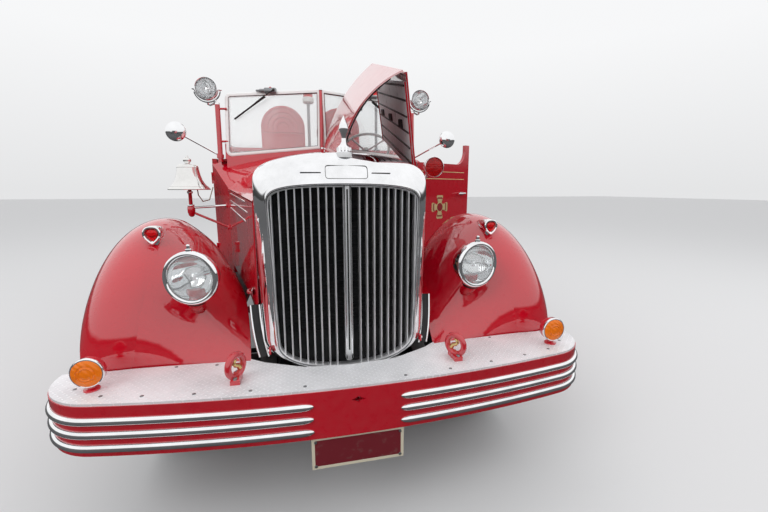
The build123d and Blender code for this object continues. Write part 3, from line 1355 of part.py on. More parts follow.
def beacon(x, t, top_z):
    """Domed beacon on its pole, standing on the cab's rear wall."""
    pole = rod(point(x, t, DOOR_CORNER_Z + CLEAR), point(x, t, top_z - 120), 16)
    base = rod(point(x, t, top_z - 125), point(x, t, top_z - 70), 62, 50)
    dome = Pos(x, at(t), top_z - 70) * (Sphere(50) & Pos(0, 0, 50) * Box(200, 200, 100))
    return pole + base + dome


def door_mirror():
    """Round mirror on an arm that is clamped to the windshield post."""
    x, t, z = MIRROR_PLACE
    head = Pos(x, at(t), z) * Rot(90, 0, 0) * Cone(MIRROR_R - 16, MIRROR_R, 26)
    arm = rod(point(x, t, z), point(POST_FOOT[0] + POST_R + 4, POST_FOOT[1], 1800), 7)
    return head + (arm - rod(point(*POST_FOOT), point(*POST_TOP), POST_R + CLEAR))


save("spotlights_mirrors", spotlight().solids() + other_side(spotlight()).solids()
     + door_mirror().solids() + other_side(door_mirror()).solids())
save("warning_lamps", [warning_lamp(), beacon(-50, CAB_REAR_T - 18, 2585), beacon(712, CAB_REAR_T - 18, 2640)])


# Fittings of the pump, ladder, suction hoses and hand rails

def pump_fittings():
    """Capped suction inlet, hose outlets, gauges and valve pulls on both sides."""
    pieces = []
    x0 = PUMP_HALF + CLEAR
    # station, height, radius and length of each fitting
    round_fittings = [(3440, 1020, 88, 110), (3200, 1240, 48, 120), (3660, 1240, 48, 120), (3200, 1560, 56, 16),
                      (3340, 1560, 56, 16), (3520, 1600, 78, 18), (3690, 1560, 56, 16), (3440, 1400, 22, 60)]
    for side in (-1, 1):
        for t, z, radius, length in round_fittings:
            base = rod(point(side * x0, t, z), point(side * (x0 + length * 0.6), t, z), radius * 0.82)
            pieces.append(base + rod(point(side * (x0 + length * 0.5), t, z), point(side * (x0 + length), t, z),
                                     radius))
        for index in range(4):
            t = 3180 + 170 * index
            pull = rod(point(side * x0, t, 1760), point(side * (x0 + 60), t, 1760), 8)
            pieces.append(pull + rod(point(side * (x0 + 60), t - 34, 1760), point(side * (x0 + 60), t + 34, 1760), 9))
    return pieces


def suction_hose(z):
    """Hard suction hose with a coupling at each end, lying on the bed's brackets."""
    x = -(BED_HALF + HOSE_R + 14)
    shape = rod(point(x, HOSE_T0, z), point(x, HOSE_T1, z), HOSE_R - 6)
    for index in range(30):
        t = HOSE_T0 + 120 + index * (HOSE_T1 - HOSE_T0 - 240) / 29
        shape += rod(point(x, t - 16, z), point(x, t + 16, z), HOSE_R)
    for t in (HOSE_T0, HOSE_T1 - 90):
        shape += rod(point(x, t, z), point(x, t + 90, z), HOSE_R + 6)
    return shape


def ladder():
    """Two side bars on edge with round rungs between them, hung on the left of the bed."""
    x = BED_HALF + LADDER_OUT
    shape = None
    for z in LADDER_Z:
        bar = block((x, x + 26), (LADDER_T0, LADDER_T1), (z - 36, z + 36))
        shape = bar if shape is None else shape + bar
    rungs = int((LADDER_T1 - LADDER_T0 - 200) // RUNG_PITCH) + 1
    for index in range(rungs):
        t = LADDER_T0 + 140 + RUNG_PITCH * index
        shape += rod(point(x + 13, t, LADDER_Z[0]), point(x + 13, t, LADDER_Z[1]), 13)
    return shape


def body_brackets():
    """Cradles for the suction hoses on the right and hangers for the ladder on the left."""
    pieces = []
    for t in BRACKETS_T:
        for z in HOSES_Z:
            x1 = -(BED_HALF + 2 * HOSE_R + 24)
            low = z - HOSE_R
            arm = block((x1, -BED_HALF - CLEAR), (t, t + 40), (low - 10, low - CLEAR))
            pieces.append(arm + block((x1, x1 + 8), (t, t + 40), (low - 10, z - 30)))
        for z in LADDER_Z:
            low = z - 36
            arm = block((BED_HALF + CLEAR, BED_HALF + LADDER_OUT + 34), (t, t + 40), (low - 10, low - CLEAR))
            pieces.append(arm + block((BED_HALF + LADDER_OUT + 26 + CLEAR, BED_HALF + LADDER_OUT + 34),
                                      (t, t + 40), (low - 10, low + 30)))
    return pieces


def hand_rails():
    """Rails along both rims of the bed and across its tail."""
    pieces = []
    for side in (-1, 1):
        x = side * (BED_HALF - BED_WALL / 2)
        rail = rod(point(x, BED_T0 + 120, RAIL_Z), point(x, BED_T1 - 60, RAIL_Z), 16)
        for t in (BED_T0 + 140, (BED_T0 + BED_T1) / 2, BED_T1 - 80):
            rail += rod(point(x, t, BED_TOP_Z + CLEAR), point(x, t, RAIL_Z), 12)
        pieces.append(rail)
    cross = rod(point(-480, BED_T1 + 70, 1560), point(480, BED_T1 + 70, 1560), 16)
    for x in (-450, 450):
        cross += rod(point(x, BED_T1 + CLEAR, 1560), point(x, BED_T1 + 70, 1560), 12)
    pieces.append(cross)
    return pieces


save("pump_fittings", pump_fittings())
save("suction_hoses", [suction_hose(z) for z in HOSES_Z])
save("ladder", ladder())
save("hand_rails", hand_rails())
save("hose_bed", [hose_bed()] + body_brackets())
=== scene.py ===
"""Looks of the open-cab fire engine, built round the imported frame. Metres, +Z up, front towards -Y."""
import random
from math import atan2, cos, pi, radians, sin, sqrt

import bpy
from mathutils import Matrix, Vector


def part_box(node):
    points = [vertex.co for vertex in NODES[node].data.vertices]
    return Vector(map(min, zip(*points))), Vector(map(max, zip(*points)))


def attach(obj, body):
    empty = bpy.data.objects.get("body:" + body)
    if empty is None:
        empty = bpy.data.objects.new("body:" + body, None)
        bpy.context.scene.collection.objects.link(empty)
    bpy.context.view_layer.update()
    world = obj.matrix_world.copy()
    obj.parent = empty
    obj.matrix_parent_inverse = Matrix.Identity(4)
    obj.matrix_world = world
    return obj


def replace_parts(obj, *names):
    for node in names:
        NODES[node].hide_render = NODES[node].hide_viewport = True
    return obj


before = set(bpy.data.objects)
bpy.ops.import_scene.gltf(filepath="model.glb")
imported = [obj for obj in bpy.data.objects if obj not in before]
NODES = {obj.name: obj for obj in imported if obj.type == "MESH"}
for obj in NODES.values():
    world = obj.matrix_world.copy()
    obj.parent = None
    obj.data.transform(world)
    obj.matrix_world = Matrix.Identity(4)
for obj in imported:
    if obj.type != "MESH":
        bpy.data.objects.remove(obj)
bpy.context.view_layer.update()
random.seed(11)

BODY = "vehicle"
HALF_LENGTH = 4
OUTWARD, UP = Vector((1, 0, 0)), Vector((0, 0, 1))
FORWARD, BACKWARD = Vector((0, -1, 0)), Vector((0, 1, 0))


def at(t):
    """Y of a station, which counts rearward from the bumper's face."""
    return t - HALF_LENGTH


def spot(x, t, z):
    """A place from its distance to the left, station and height."""
    return Vector((x, at(t), z))


# Camera

def camera():
    data = bpy.data.cameras.new("camera")
    data.sensor_width = 36
    data.lens = 17.81
    data.clip_end = 200
    eye = bpy.data.objects.new("camera", data)
    eye.location = (-0.2287, -5.4688, 1.53)
    eye.rotation_euler = (radians(79.93), 0, radians(-12.99))
    bpy.context.scene.collection.objects.link(eye)
    bpy.context.scene.camera = eye


camera()


# Node trees

class Tree:
    """A material with its Principled shader, and short calls for the nodes that feed it."""

    def __init__(self, name):
        self.material = bpy.data.materials.new(name)
        self.material.use_nodes = True
        self.nodes = self.material.node_tree.nodes
        self.links = self.material.node_tree.links
        self.shader = self.nodes["Principled BSDF"]
        self.place = self.nodes.new("ShaderNodeTexCoord").outputs["Object"]

    def feed(self, socket, value):
        """Links a node's output to a socket, or sets the socket to a plain value."""
        if isinstance(value, bpy.types.NodeSocket):
            self.links.new(value, socket)
        else:
            socket.default_value = value

    def node(self, kind, settings=None, **inputs):
        made = self.nodes.new("ShaderNode" + kind)
        for key, value in (settings or {}).items():
            setattr(made, key, value)
        for key, value in inputs.items():
            self.feed(made.inputs[int(key[1:]) if key[1:].isdigit() else key.replace("_", " ")], value)
        return made

    def math(self, operation, a, b=0, c=0):
        return self.node("Math", {"operation": operation}, _0=a, _1=b, _2=c).outputs[0]

    def noise(self, scale, detail=3, rough=0.5, stretch=None):
        place = self.place
        if stretch:
            place = self.node("Mapping", _0=place, Scale=stretch).outputs[0]
        return self.node("TexNoise", Vector=place, Scale=scale, Detail=detail, Roughness=rough).outputs["Fac"]

    def spread(self, value, low, high, out_low=0, out_high=1):
        return self.node("MapRange", _0=value, _1=low, _2=high, _3=out_low, _4=out_high).outputs[0]

    def mix(self, share, a, b):
        made = self.nodes.new("ShaderNodeMix")
        made.data_type = "RGBA"
        for socket, value in ((made.inputs[0], share), (made.inputs[6], a), (made.inputs[7], b)):
            self.feed(socket, value)
        return made.outputs[2]

    def bump(self, height, strength, distance, normal=None):
        made = self.node("Bump", Height=height, Strength=strength, Distance=distance)
        if normal:
            self.links.new(normal, made.inputs["Normal"])
        return made.outputs[0]

    def set(self, **values):
        for key, value in values.items():
            self.feed(self.shader.inputs[key.replace("_", " ")], value)


def rgb(red, green, blue):
    return (red, green, blue, 1)


def shade(colour, factor):
    return (colour[0] * factor, colour[1] * factor, colour[2] * factor, 1)


def enamel(name, colour, rough=0.3, coat=1, dust=0.12, gloss=1.55):
    """Glossy paint: faint panel waviness, orange peel, settled dust near the ground."""
    tree = Tree(name)
    broad, fine = tree.noise(1.4, 2), tree.noise(22, 4)
    tone = tree.mix(tree.spread(broad, 0.3, 0.7), colour, shade(colour, 0.86))
    height = tree.node("SeparateXYZ", _0=tree.place).outputs[2]
    low = tree.math("MULTIPLY", tree.spread(height, 0.45, 1.1, 1, 0), tree.spread(fine, 0.35, 0.75, 0, dust))
    tree.set(Base_Color=tree.mix(low, tone, rgb(0.33, 0.28, 0.24)), Coat_Weight=coat, Coat_Roughness=0.02,
        Coat_IOR=gloss, IOR=1.45, Specular_IOR_Level=0.1,
        Roughness=tree.spread(fine, 0.3, 0.7, rough * 0.8, rough * 1.2))
    peel = tree.bump(tree.noise(420, 1), 0.03, 0.0004)
    tree.set(Coat_Normal=tree.bump(tree.noise(2.6, 1), 0.35, 0.006, peel), Normal=peel)
    return tree.material


def plated(name, colour, rough=0.05, worn=0.1, wave=0.25):
    """Bright metal with fine scratches and faint stains."""
    tree = Tree(name)
    stain = tree.noise(9, 5, 0.6)
    hair = tree.noise(60, 2, 0.5, (1, 14, 1))
    tree.set(Metallic=1, Base_Color=tree.mix(tree.spread(stain, 0.4, 0.75), colour, shade(colour, 0.86)),
        Roughness=tree.math("ADD", tree.spread(stain, 0.35, 0.8, rough, rough + worn),
        tree.spread(hair, 0.5, 0.8, 0, worn * 0.4)), Normal=tree.bump(tree.noise(6, 1), wave, 0.004,
        tree.bump(hair, 0.05, 0.0004)))
    return tree.material


def grained(name, colour, dark=0.7, rough=0.6, grain=60, depth=0.25, distance=0.001, metal=0, specks=None, coat=0):
    """Matt or satin surface with a fine grain and blotches."""
    tree = Tree(name)
    fine, broad = tree.noise(grain, 5, 0.6), tree.noise(grain / 12, 3)
    tone = tree.mix(tree.spread(broad, 0.3, 0.7), colour, shade(colour, dark))
    if specks:
        tone = tree.mix(tree.spread(fine, 0.55, 0.78), tone, specks)
    tree.set(Base_Color=tone, Metallic=metal, Coat_Weight=coat, Coat_Roughness=0.1,
        Roughness=tree.spread(broad, 0.3, 0.7, rough * 0.85, min(1, rough * 1.15)),
        Normal=tree.bump(fine, depth, distance))
    return tree.material


def tread_plate(name, colour):
    """Aluminium plate with rows of raised lozenges set crosswise in turn."""
    tree = Tree(name)
    turned = tree.node("Mapping", _0=tree.place, Rotation=(0, 0, radians(45)), Scale=(44, 44, 44)).outputs[0]
    parts = tree.node("SeparateXYZ", _0=turned)
    u, v = parts.outputs[0], parts.outputs[1]
    parity = tree.math("MODULO", tree.math("ADD", tree.math("FLOOR", u), tree.math("FLOOR", v)), 2)
    odd = tree.math("GREATER_THAN", tree.math("ABSOLUTE", parity), 0.5)
    a = tree.math("ABSOLUTE", tree.math("SUBTRACT", tree.math("FRACT", u), 0.5))
    b = tree.math("ABSOLUTE", tree.math("SUBTRACT", tree.math("FRACT", v), 0.5))

    def lozenge(along, across):
        reach = tree.math("ADD", tree.math("MULTIPLY", along, 2.2), tree.math("MULTIPLY", across, 7))
        return tree.spread(reach, 0.8, 1, 1, 0)
    first, second = lozenge(a, b), lozenge(b, a)
    bar = tree.math("ADD", tree.math("MULTIPLY", first, odd),
        tree.math("MULTIPLY", second, tree.math("SUBTRACT", 1, odd)))
    stain = tree.noise(5, 5, 0.6)
    tone = tree.mix(tree.spread(stain, 0.35, 0.75), colour, shade(colour, 0.78))
    tree.set(Metallic=0.25, Base_Color=tree.mix(bar, tone, shade(colour, 1.12)),
        Roughness=tree.math("SUBTRACT", tree.spread(stain, 0.3, 0.8, 0.42, 0.6), tree.math("MULTIPLY", bar, 0.12)),
        Normal=tree.bump(bar, 0.6, 0.003, tree.bump(tree.noise(300, 2), 0.1, 0.0005)))
    return tree.material


def clear(name, colour, rough=0, ribs=None, weight=1):
    """Glass or a moulded lens; ribs are the direction, scale and strength of the waves pressed into it."""
    tree = Tree(name)
    tree.set(Base_Color=colour, Transmission_Weight=weight, IOR=1.45,
        Roughness=tree.spread(tree.noise(30, 4), 0.45, 0.8, rough, rough + 0.04))
    if ribs:
        wave = tree.node("TexWave", {"bands_direction": ribs[0]}, Vector=tree.place, Scale=ribs[1]).outputs["Fac"]
        tree.set(Normal=tree.bump(wave, ribs[2], 0.002))
    return tree.material


def planked(name, colour, dark):
    """Varnished wood with the grain along the vehicle."""
    tree = Tree(name)
    grain = tree.noise(90, 6, 0.65, (1, 0.06, 1))
    tree.set(Base_Color=tree.mix(tree.spread(grain, 0.35, 0.7), colour, dark), Coat_Weight=0.6, Coat_Roughness=0.12,
        Roughness=tree.spread(grain, 0.3, 0.8, 0.3, 0.5), Normal=tree.bump(grain, 0.2, 0.001))
    return tree.material


def framed_plate(name, field, border):
    """Pressed plate: dark field inside a cream border, nothing written on it."""
    tree = Tree(name)
    parts = tree.node("SeparateXYZ", _0=tree.place)
    across = tree.math("ABSOLUTE", parts.outputs[0])
    low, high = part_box("number_plate")
    upright = tree.math("ABSOLUTE", tree.math("SUBTRACT", parts.outputs[2], (low.z + high.z) / 2))
    outside = tree.math("MAXIMUM", tree.spread(across, high.x - 0.014, high.x - 0.0125),
        tree.spread(upright, (high.z - low.z) / 2 - 0.014, (high.z - low.z) / 2 - 0.0125))
    fine = tree.noise(40, 4)
    tone = tree.mix(outside, field, border)
    tree.set(Base_Color=tree.mix(tree.spread(fine, 0.6, 0.85, 0, 0.35), tone, rgb(0.2, 0.17, 0.15)),
        Roughness=tree.spread(fine, 0.3, 0.8, 0.3, 0.5), Coat_Weight=0.4, Normal=tree.bump(outside, 0.4, 0.002))
    return tree.material


RED = enamel("paint_red", rgb(0.56, 0.0008, 0.014), dust=0.05, gloss=1.92)
# Lit copy of the red paint for the hood tops: a touch lighter red and a far stronger coat, a painted highlight so the
# raised leaves read paler than the rest.
RED_HOOD_LIT_COPY = enamel("paint_red_hood_lit_copy", rgb(0.58, 0.0015, 0.014), dust=0.05, rough=0.2, gloss=4)
RED_INNER = grained("paint_red_inner", rgb(0.3, 0.004, 0.012), rough=0.45, grain=30, depth=0.1)
# Liner grey set near white: partly the liners' own pale grey, partly painted light for inner faces that little light
# reaches.
PALE_GREY_AND_LIGHT_INNER = grained("grey_inner_with_painted_light", rgb(0.84, 0.84, 0.86), dark=0.88, rough=0.42, grain=24, depth=0.15,
    specks=rgb(0.3, 0.29, 0.29))
BLACK = enamel("paint_black", rgb(0.012, 0.012, 0.013), rough=0.35, coat=0.6, dust=0.3)
CHROME = plated("chrome", rgb(0.96, 0.963, 0.97), rough=0.03, worn=0.04)
SATIN = plated("satin_metal", rgb(0.78, 0.79, 0.81), rough=0.26, worn=0.12)
BLADE = plated("blade_metal", rgb(0.96, 0.96, 0.97), rough=0.5, worn=0.06)
BELL_METAL = plated("bell_nickel", rgb(0.86, 0.85, 0.83), rough=0.05, worn=0.06, wave=0.15)
BRASS = plated("brass", rgb(0.78, 0.56, 0.24), rough=0.14, worn=0.15)
GOLD = grained("gold_leaf", rgb(0.92, 0.74, 0.38), dark=0.75, rough=0.4, grain=90, depth=0.15, metal=0.7)
MIRROR = plated("mirror_glass", rgb(0.9, 0.91, 0.92), rough=0.01, worn=0.02, wave=0)
DECK = tread_plate("tread_plate", rgb(0.86, 0.865, 0.885))
RUBBER = grained("tyre_rubber", rgb(0.022, 0.022, 0.023), dark=0.8, rough=0.78, grain=45, depth=0.2,
    specks=rgb(0.06, 0.055, 0.05))
SEAL = grained("black_rubber", rgb(0.016, 0.016, 0.017), rough=0.55, grain=120, depth=0.1)
GASKET = grained("pale_gasket", rgb(0.9, 0.9, 0.89), dark=0.95, rough=0.3, grain=80, depth=0.05, coat=0.5)
HOSE = grained("hose_rubber", rgb(0.02, 0.02, 0.021), rough=0.7, grain=80, depth=0.3)
GLASS = clear("window_glass", rgb(0.93, 0.95, 0.95), weight=0.8)
LENS = clear("lamp_glass", rgb(0.97, 0.98, 0.98), rough=0.02, ribs=("X", 26, 0.12), weight=0.88)
AMBER = clear("amber_lens", rgb(1, 0.22, 0.008), rough=0.1, ribs=("DIAGONAL", 24, 0.5), weight=0.15)
RUBY = clear("red_lens", rgb(0.8, 0.006, 0.01), rough=0.03, ribs=("Z", 22, 0.3), weight=0.7)
LEATHER = grained("seat_leather", rgb(0.035, 0.014, 0.01), rough=0.42, grain=150, depth=0.45, distance=0.0015)
IRON = grained("black_iron", rgb(0.018, 0.018, 0.019), rough=0.5, grain=28, depth=0.3, specks=rgb(0.05, 0.035, 0.025))
STEEL = grained("bare_steel", rgb(0.34, 0.34, 0.35), rough=0.35, grain=50, depth=0.1, metal=0.9)
CAST = grained("cast_engine", rgb(0.13, 0.15, 0.14), rough=0.5, grain=70, depth=0.5, distance=0.002)
# Radiator black, darker than any paint: partly the core's own black, partly painted shade for the dark space behind
# the grille.
BLACK_CORE_AND_SHADE = grained("radiator_black_and_painted_shade", rgb(0.006, 0.006, 0.007), rough=0.8, grain=200, depth=0.4)
WOOD = planked("ash_wood", rgb(0.5, 0.27, 0.1), rgb(0.28, 0.13, 0.045))
PLATE = framed_plate("blank_plate", rgb(0.17, 0.012, 0.02), rgb(0.68, 0.62, 0.48))
PANEL = plated("brushed_panel", rgb(0.6, 0.61, 0.63), rough=0.3, worn=0.15, wave=0.05)
WHITE = grained("dial_white", rgb(0.78, 0.78, 0.75), dark=0.93, rough=0.4, grain=60, depth=0.03)
CANVAS = grained("hose_canvas", rgb(0.52, 0.46, 0.34), rough=0.85, grain=190, depth=0.7, distance=0.002)


def pair(*names):
    """Left and right nodes of each name."""
    return [f"{name}_{side}" for name in names for side in ("left", "right")]


NODE_LOOKS = {
    RED: ["bumper", "cab_tub", "cowl", "front_fenders", "rear_fenders", "hose_bed", "lockers", "pump_housing",
          "tow_hooks", "windshield_frame", "engine_aprons", "running_boards",
          *pair("door", "hood_side", "locker_door", "hose_reel", "wheel_front", "wheels_rear")],
    RED_HOOD_LIT_COPY: pair("hood_top"),
    CHROME: ["radiator_shell", "bumper_strips", "hand_rails", "pump_fittings", "spotlights_mirrors", "headlamps",
             "warning_lamps", "signal_lamps"],
    SATIN: ["grille"],
    BELL_METAL: ["bell"],
    DECK: ["bumper_deck", "tailboard"],
    RUBBER: pair("tyre_front", "tyres_rear"),
    HOSE: ["suction_hoses"],
    GLASS: ["windshield_glass"],
    LEATHER: ["seat_cushions"],
    IRON: ["frame", "front_axle", "rear_axle", "leaf_springs", "tie_rod", "driveline", *pair("knuckle")],
    CAST: ["engine"],
    BLACK: ["cooling_fan", "steering_wheel", "steering_column"],
    BLACK_CORE_AND_SHADE: ["radiator_core"],
    WOOD: ["ladder"],
    PLATE: ["number_plate"],
}

for look, names in NODE_LOOKS.items():
    for name in names:
        slots = NODES[name].material_slots
        if not slots:
            NODES[name].data.materials.append(look)
        for entry in slots:
            entry.material = look


# Mesh pieces

def mm(*pairs):
    """A turned profile, (height, radius) pairs, from millimetres."""
    return [(height / 1000, radius / 1000) for height, radius in pairs]


def route(*steps, near=(0, 0, 0)):
    """Points at (x, station, z) steps in millimetres from a place."""
    x, t, z = near
    return [spot(x + dx / 1000, t + dt / 1000, z + dz / 1000) for dx, dt, dz in steps]


def turns(count, start=0):
    """Angles at even steps all the way round."""
    return [start + 2 * pi * i / count for i in range(count)]


class Piece:
    """Collects closed forms, in metres, into one mesh object with several materials."""

    def __init__(self, name, *materials):
        self.name, self.materials = name, materials
        self.points, self.faces, self.looks = [], [], []

    def add(self, points, faces, look=0):
        base = len(self.points)
        self.points += [tuple(p) for p in points]
        self.faces += [tuple(base + i for i in face) for face in faces]
        self.looks += [look] * len(faces)

    def rings(self, rings, look=0, caps=True, loop=False):
        """Skin over rings of points with the same count."""
        count = len(rings[0])
        points = [p for ring in rings for p in ring]
        faces = []
        steps = len(rings) if loop else len(rings) - 1
        for i in range(steps):
            a, b = i * count, (i + 1) % len(rings) * count
            for j in range(count):
                k = (j + 1) % count
                faces.append((a + j, a + k, b + k, b + j))
        if caps and not loop:
            faces.append(tuple(range(count - 1, -1, -1)))
            faces.append(tuple((len(rings) - 1) * count + j for j in range(count)))
        self.add(points, faces, look)

    def lathe(self, centre, axis, profile, steps=32, look=0):
        """Turns (height along the axis, radius) pairs about an axis through the centre."""
        turn = Vector(axis).normalized().to_track_quat("Z", "Y").to_matrix()
        centre = Vector(centre)
        rings = []
        for height, radius in profile:
            r = max(radius, 0.0002)
            rings.append([centre + turn @ Vector((r * cos(2 * pi * i / steps), r * sin(2 * pi * i / steps), height))
                for i in range(steps)])
        self.rings(rings, look, caps=False)

    def tube(self, path, radius, sides=10, look=0, loop=False, flat=1, side=None):
        """Round or flattened bar along points; radius may be one number or one per point."""
        path = [Vector(p) for p in path]
        count = len(path)
        radii = radius if isinstance(radius, (list, tuple)) else [radius] * count
        rings = []
        previous = Vector(side) if side else None
        for i, p in enumerate(path):
            before = path[(i - 1) % count] if loop or i else p
            after = path[(i + 1) % count] if loop or i < count - 1 else p
            along = (after - before).normalized()
            if previous is None:
                previous = along.orthogonal()
            u = (previous - along * previous.dot(along)).normalized()
            w = along.cross(u)
            previous = u
            rings.append([p + (u * cos(2 * pi * j / sides) + w * flat * sin(2 * pi * j / sides)) * radii[i]
                for j in range(sides)])
        self.rings(rings, look, loop=loop)

    def box(self, centre, size, turn=None, look=0, edge=0.003):
        """Block with its edges bevelled."""
        centre = Vector(centre)
        turn = turn or Matrix.Identity(3)
        half = [s / 2 for s in size]
        edge = min(edge, min(half) * 0.6)
        rings = []
        for h, inset in ((-half[2], edge), (-half[2] + edge, 0), (half[2] - edge, 0), (half[2], edge)):
            a, b = half[0] - inset, half[1] - inset
            c = edge
            outline = [(a, -b + c), (a, b - c), (a - c, b), (-a + c, b), (-a, b - c), (-a, -b + c), (-a + c, -b),
                (a - c, -b)]
            rings.append([centre + turn @ Vector((px, py, h)) for px, py in outline])
        self.rings(rings, look)

    def build(self, body=BODY, slot=None, angle=40, mirror=False, move=None):
        mesh = bpy.data.meshes.new(self.name)
        mesh.from_pydata(self.points, [], self.faces)
        for material in self.materials:
            mesh.materials.append(material)
        mesh.polygons.foreach_set("material_index", self.looks)
        if mirror:
            mesh.transform(Matrix.Scale(-1, 4, OUTWARD))
            mesh.flip_normals()
        if move:
            mesh.transform(move)
        mesh.validate()
        mesh.update()
        mesh.shade_smooth()
        mesh.set_sharp_from_angle(angle=radians(angle))
        obj = bpy.data.objects.new(self.name, mesh)
        bpy.context.scene.collection.objects.link(obj)
        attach(obj, body)
        return obj


def sided(part):
    """Names of a body and its mirror image."""
    return (f"left_{part}", f"right_{part}")


def both(make, name, *materials, bodies=(BODY, BODY), move=None, **settings):
    """A left piece and its mirror image, made by the same steps; only the left one makes the move."""
    made = []
    for side, body in zip(("left", "right"), bodies):
        piece = Piece(f"{name}_{side}", *materials)
        make(piece)
        made.append(piece.build(body=body, mirror=side == "right", move=move if side == "left" else None, **settings))
    return made


def arc(centre, axis_u, axis_v, radius, start, end, steps):
    """Points round a centre from one angle to another, in degrees."""
    centre, u, v = Vector(centre), Vector(axis_u), Vector(axis_v)
    angles = [radians(start + (end - start) * i / steps) for i in range(steps + 1)]
    return [centre + u * radius * cos(a) + v * radius * sin(a) for a in angles]


def circle(centre, axis_u, axis_v, radius, count):
    """Points all the way round a centre."""
    return arc(centre, axis_u, axis_v, radius, 0, 360, count)[:-1]


def rounded(width, height, radius, steps=6):
    """Rounded rectangle as (u, v) pairs about its middle."""
    outline = []
    for cu, cv, start in ((1, 1, 0), (-1, 1, 90), (-1, -1, 180), (1, -1, 270)):
        for i in range(steps + 1):
            a = radians(start + 90 * i / steps)
            outline.append((cu * (width / 2 - radius) + radius * cos(a),
                cv * (height / 2 - radius) + radius * sin(a)))
    return outline


# Lamps

def lamp(piece, place, radius, depth, bezel=0.16):
    """Open bowl with a rolled bezel, a reflector with its bulb, and a domed lens, facing forward.
    Looks are bowl 0, reflector 1 and lens 2."""
    centre = spot(*place)
    r, lip = radius, radius * bezel
    piece.lathe(centre, FORWARD, [(-depth, 0), (-depth * 0.985, r * 0.18), (-depth * 0.92, r * 0.42),
        (-depth * 0.76, r * 0.66), (-depth * 0.5, r * 0.85), (-depth * 0.26, r * 0.93), (-0.022, r * 0.945),
        (-0.02, r * 0.985), (-0.012, r), (-0.002, r), (0.006, r * 0.985), (0.011, r - lip * 0.35),
        (0.012, r - lip * 0.6), (0.009, r - lip * 0.85), (0.002, r - lip), (-0.004, r - lip)], steps=48)
    inner = r - lip
    piece.lathe(centre, FORWARD, [(-0.002, inner * 1.02), (-0.012, inner), (-depth * 0.22, inner * 0.9),
        (-depth * 0.42, inner * 0.72), (-depth * 0.58, inner * 0.48), (-depth * 0.66, inner * 0.2),
        (-depth * 0.67, 0)], steps=40, look=1)
    piece.lathe(centre, FORWARD, [(-depth * 0.67, inner * 0.1), (-depth * 0.4, inner * 0.1),
        (-depth * 0.3, inner * 0.17), (-depth * 0.22, inner * 0.15), (-depth * 0.18, 0)], steps=16, look=1)
    piece.lathe(centre, FORWARD, [(-0.004, 0), (-0.004, inner * 0.99), (0.001, inner * 0.985), (0.006, inner * 0.8),
        (0.01, inner * 0.5), (0.012, 0)], steps=40, look=2)


HEAD = (0.705, 0.355, 1.13)


def headlamp(piece):
    """Lamp turned a little outward on its stalk."""
    lamp(piece, HEAD, 0.125, 0.15, bezel=0.19)
    x, t, z = HEAD
    turn = Matrix.Translation(spot(x, t, z)) @ Matrix.Rotation(radians(11), 4,
        "Z") @ Matrix.Translation(-spot(x, t, z))
    piece.points = [tuple(turn @ Vector(p)) for p in piece.points]
    piece.lathe(spot(x, t + 0.012, z + 0.122), UP, mm((0, 14), (10, 15), (13, 9), (20, 8), (26, 10), (31, 7),
        (33, 0)), steps=14)
    piece.tube(route((0, 70, -60), (0, 75, -128), (6, 100, -150), (16, 150, -170), (20, 180, -190), near=(x, t, z)),
        [0.034, 0.04, 0.034, 0.03, 0.036], sides=18, look=3)
    piece.lathe(spot(x, t + 0.066, z - 0.118), (0, -0.1, 1),
        mm((-18, 0), (-18, 40), (-10, 48), (4, 50), (12, 44), (12, 0)), steps=22, look=4)


heads = both(headlamp, "headlamp", CHROME, MIRROR, LENS, RED, BLACK, slot="chrome")
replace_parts(heads[0], "headlamps")


# Turn signals on the deck and markers on the fenders

def signal(piece):
    """Turn signal: painted bowl, bright ring and stepped lens on a short foot."""
    x, t, z = 1.08, 0.218, 0.792
    centre = spot(x, t, z)
    piece.lathe(centre, FORWARD, mm((-30, 0), (-32, 35), (-26, 52), (-12, 60), (16, 62), (18, 62), (18, 0)))
    piece.lathe(centre, FORWARD, mm((12, 62.5), (20, 63), (25, 60), (25, 56), (18, 56)), look=1)
    piece.lathe(centre, FORWARD, mm((18, 0), (18, 57), (26, 56), (32, 46), (34, 36), (32, 34), (36, 26), (34, 22),
        (37, 12), (38, 0)), look=2)
    piece.lathe(spot(x, t, 0.7106), UP, mm((0, 0), (0, 30), (6, 30), (10, 14), (30, 12), (30, 0)), steps=18)


def marker(piece):
    """Drop-shaped lamp on the front slope of the fender: bright hood, pointed rim and red lens."""
    shield = []
    for a in turns(40):
        u, v = cos(a), sin(a)
        if v > 0:
            shield.append((abs(u) ** 0.75 * (1 if u > 0 else -1), 0.8 * v))
        else:
            shield.append((u * (1 - 0.55 * v * v), 1.15 * v))
    sections = [(0.702, 1.299, 0.028, 0.031), (0.693, 1.299, 0.033, 0.037), (0.691, 1.299, 0.039, 0.044),
        (0.695, 1.299, 0.044, 0.05), (0.712, 1.3, 0.045, 0.051), (0.75, 1.303, 0.038, 0.044),
        (0.8, 1.308, 0.026, 0.031), (0.85, 1.313, 0.013, 0.016), (0.88, 1.316, 0.004, 0.005)]
    x = 0.958
    piece.rings([[spot(x + u * w, t, z + v * h) for u, v in shield] for t, z, w, h in sections])
    lens = [(0.703, 0.86), (0.698, 0.84), (0.694, 0.66), (0.692, 0.36), (0.691, 0.03)]
    piece.rings([[spot(x + u * 0.034 * k, t + 0.003, 1.299 + v * 0.038 * k) for u, v in shield] for t, k in lens],
        look=1)
    piece.rings([[spot(x + u * w, t, z + v * h) for u, v in shield]
        for t, z, w, h in ((0.712, 1.262, 0.03, 0.03), (0.78, 1.272, 0.03, 0.03), (0.85, 1.285, 0.018, 0.02))])


signals = both(signal, "turn_signal", RED, CHROME, AMBER, slot="amber")
both(marker, "fender_marker", CHROME, RUBY, slot="chrome")
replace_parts(signals[0], "signal_lamps")


# Upper lamps, mirrors and beacons

POST_FOOT, POST_TOP = Vector((0.8, at(1.88), 1.74)), Vector((0.8, at(1.905), 2.18))


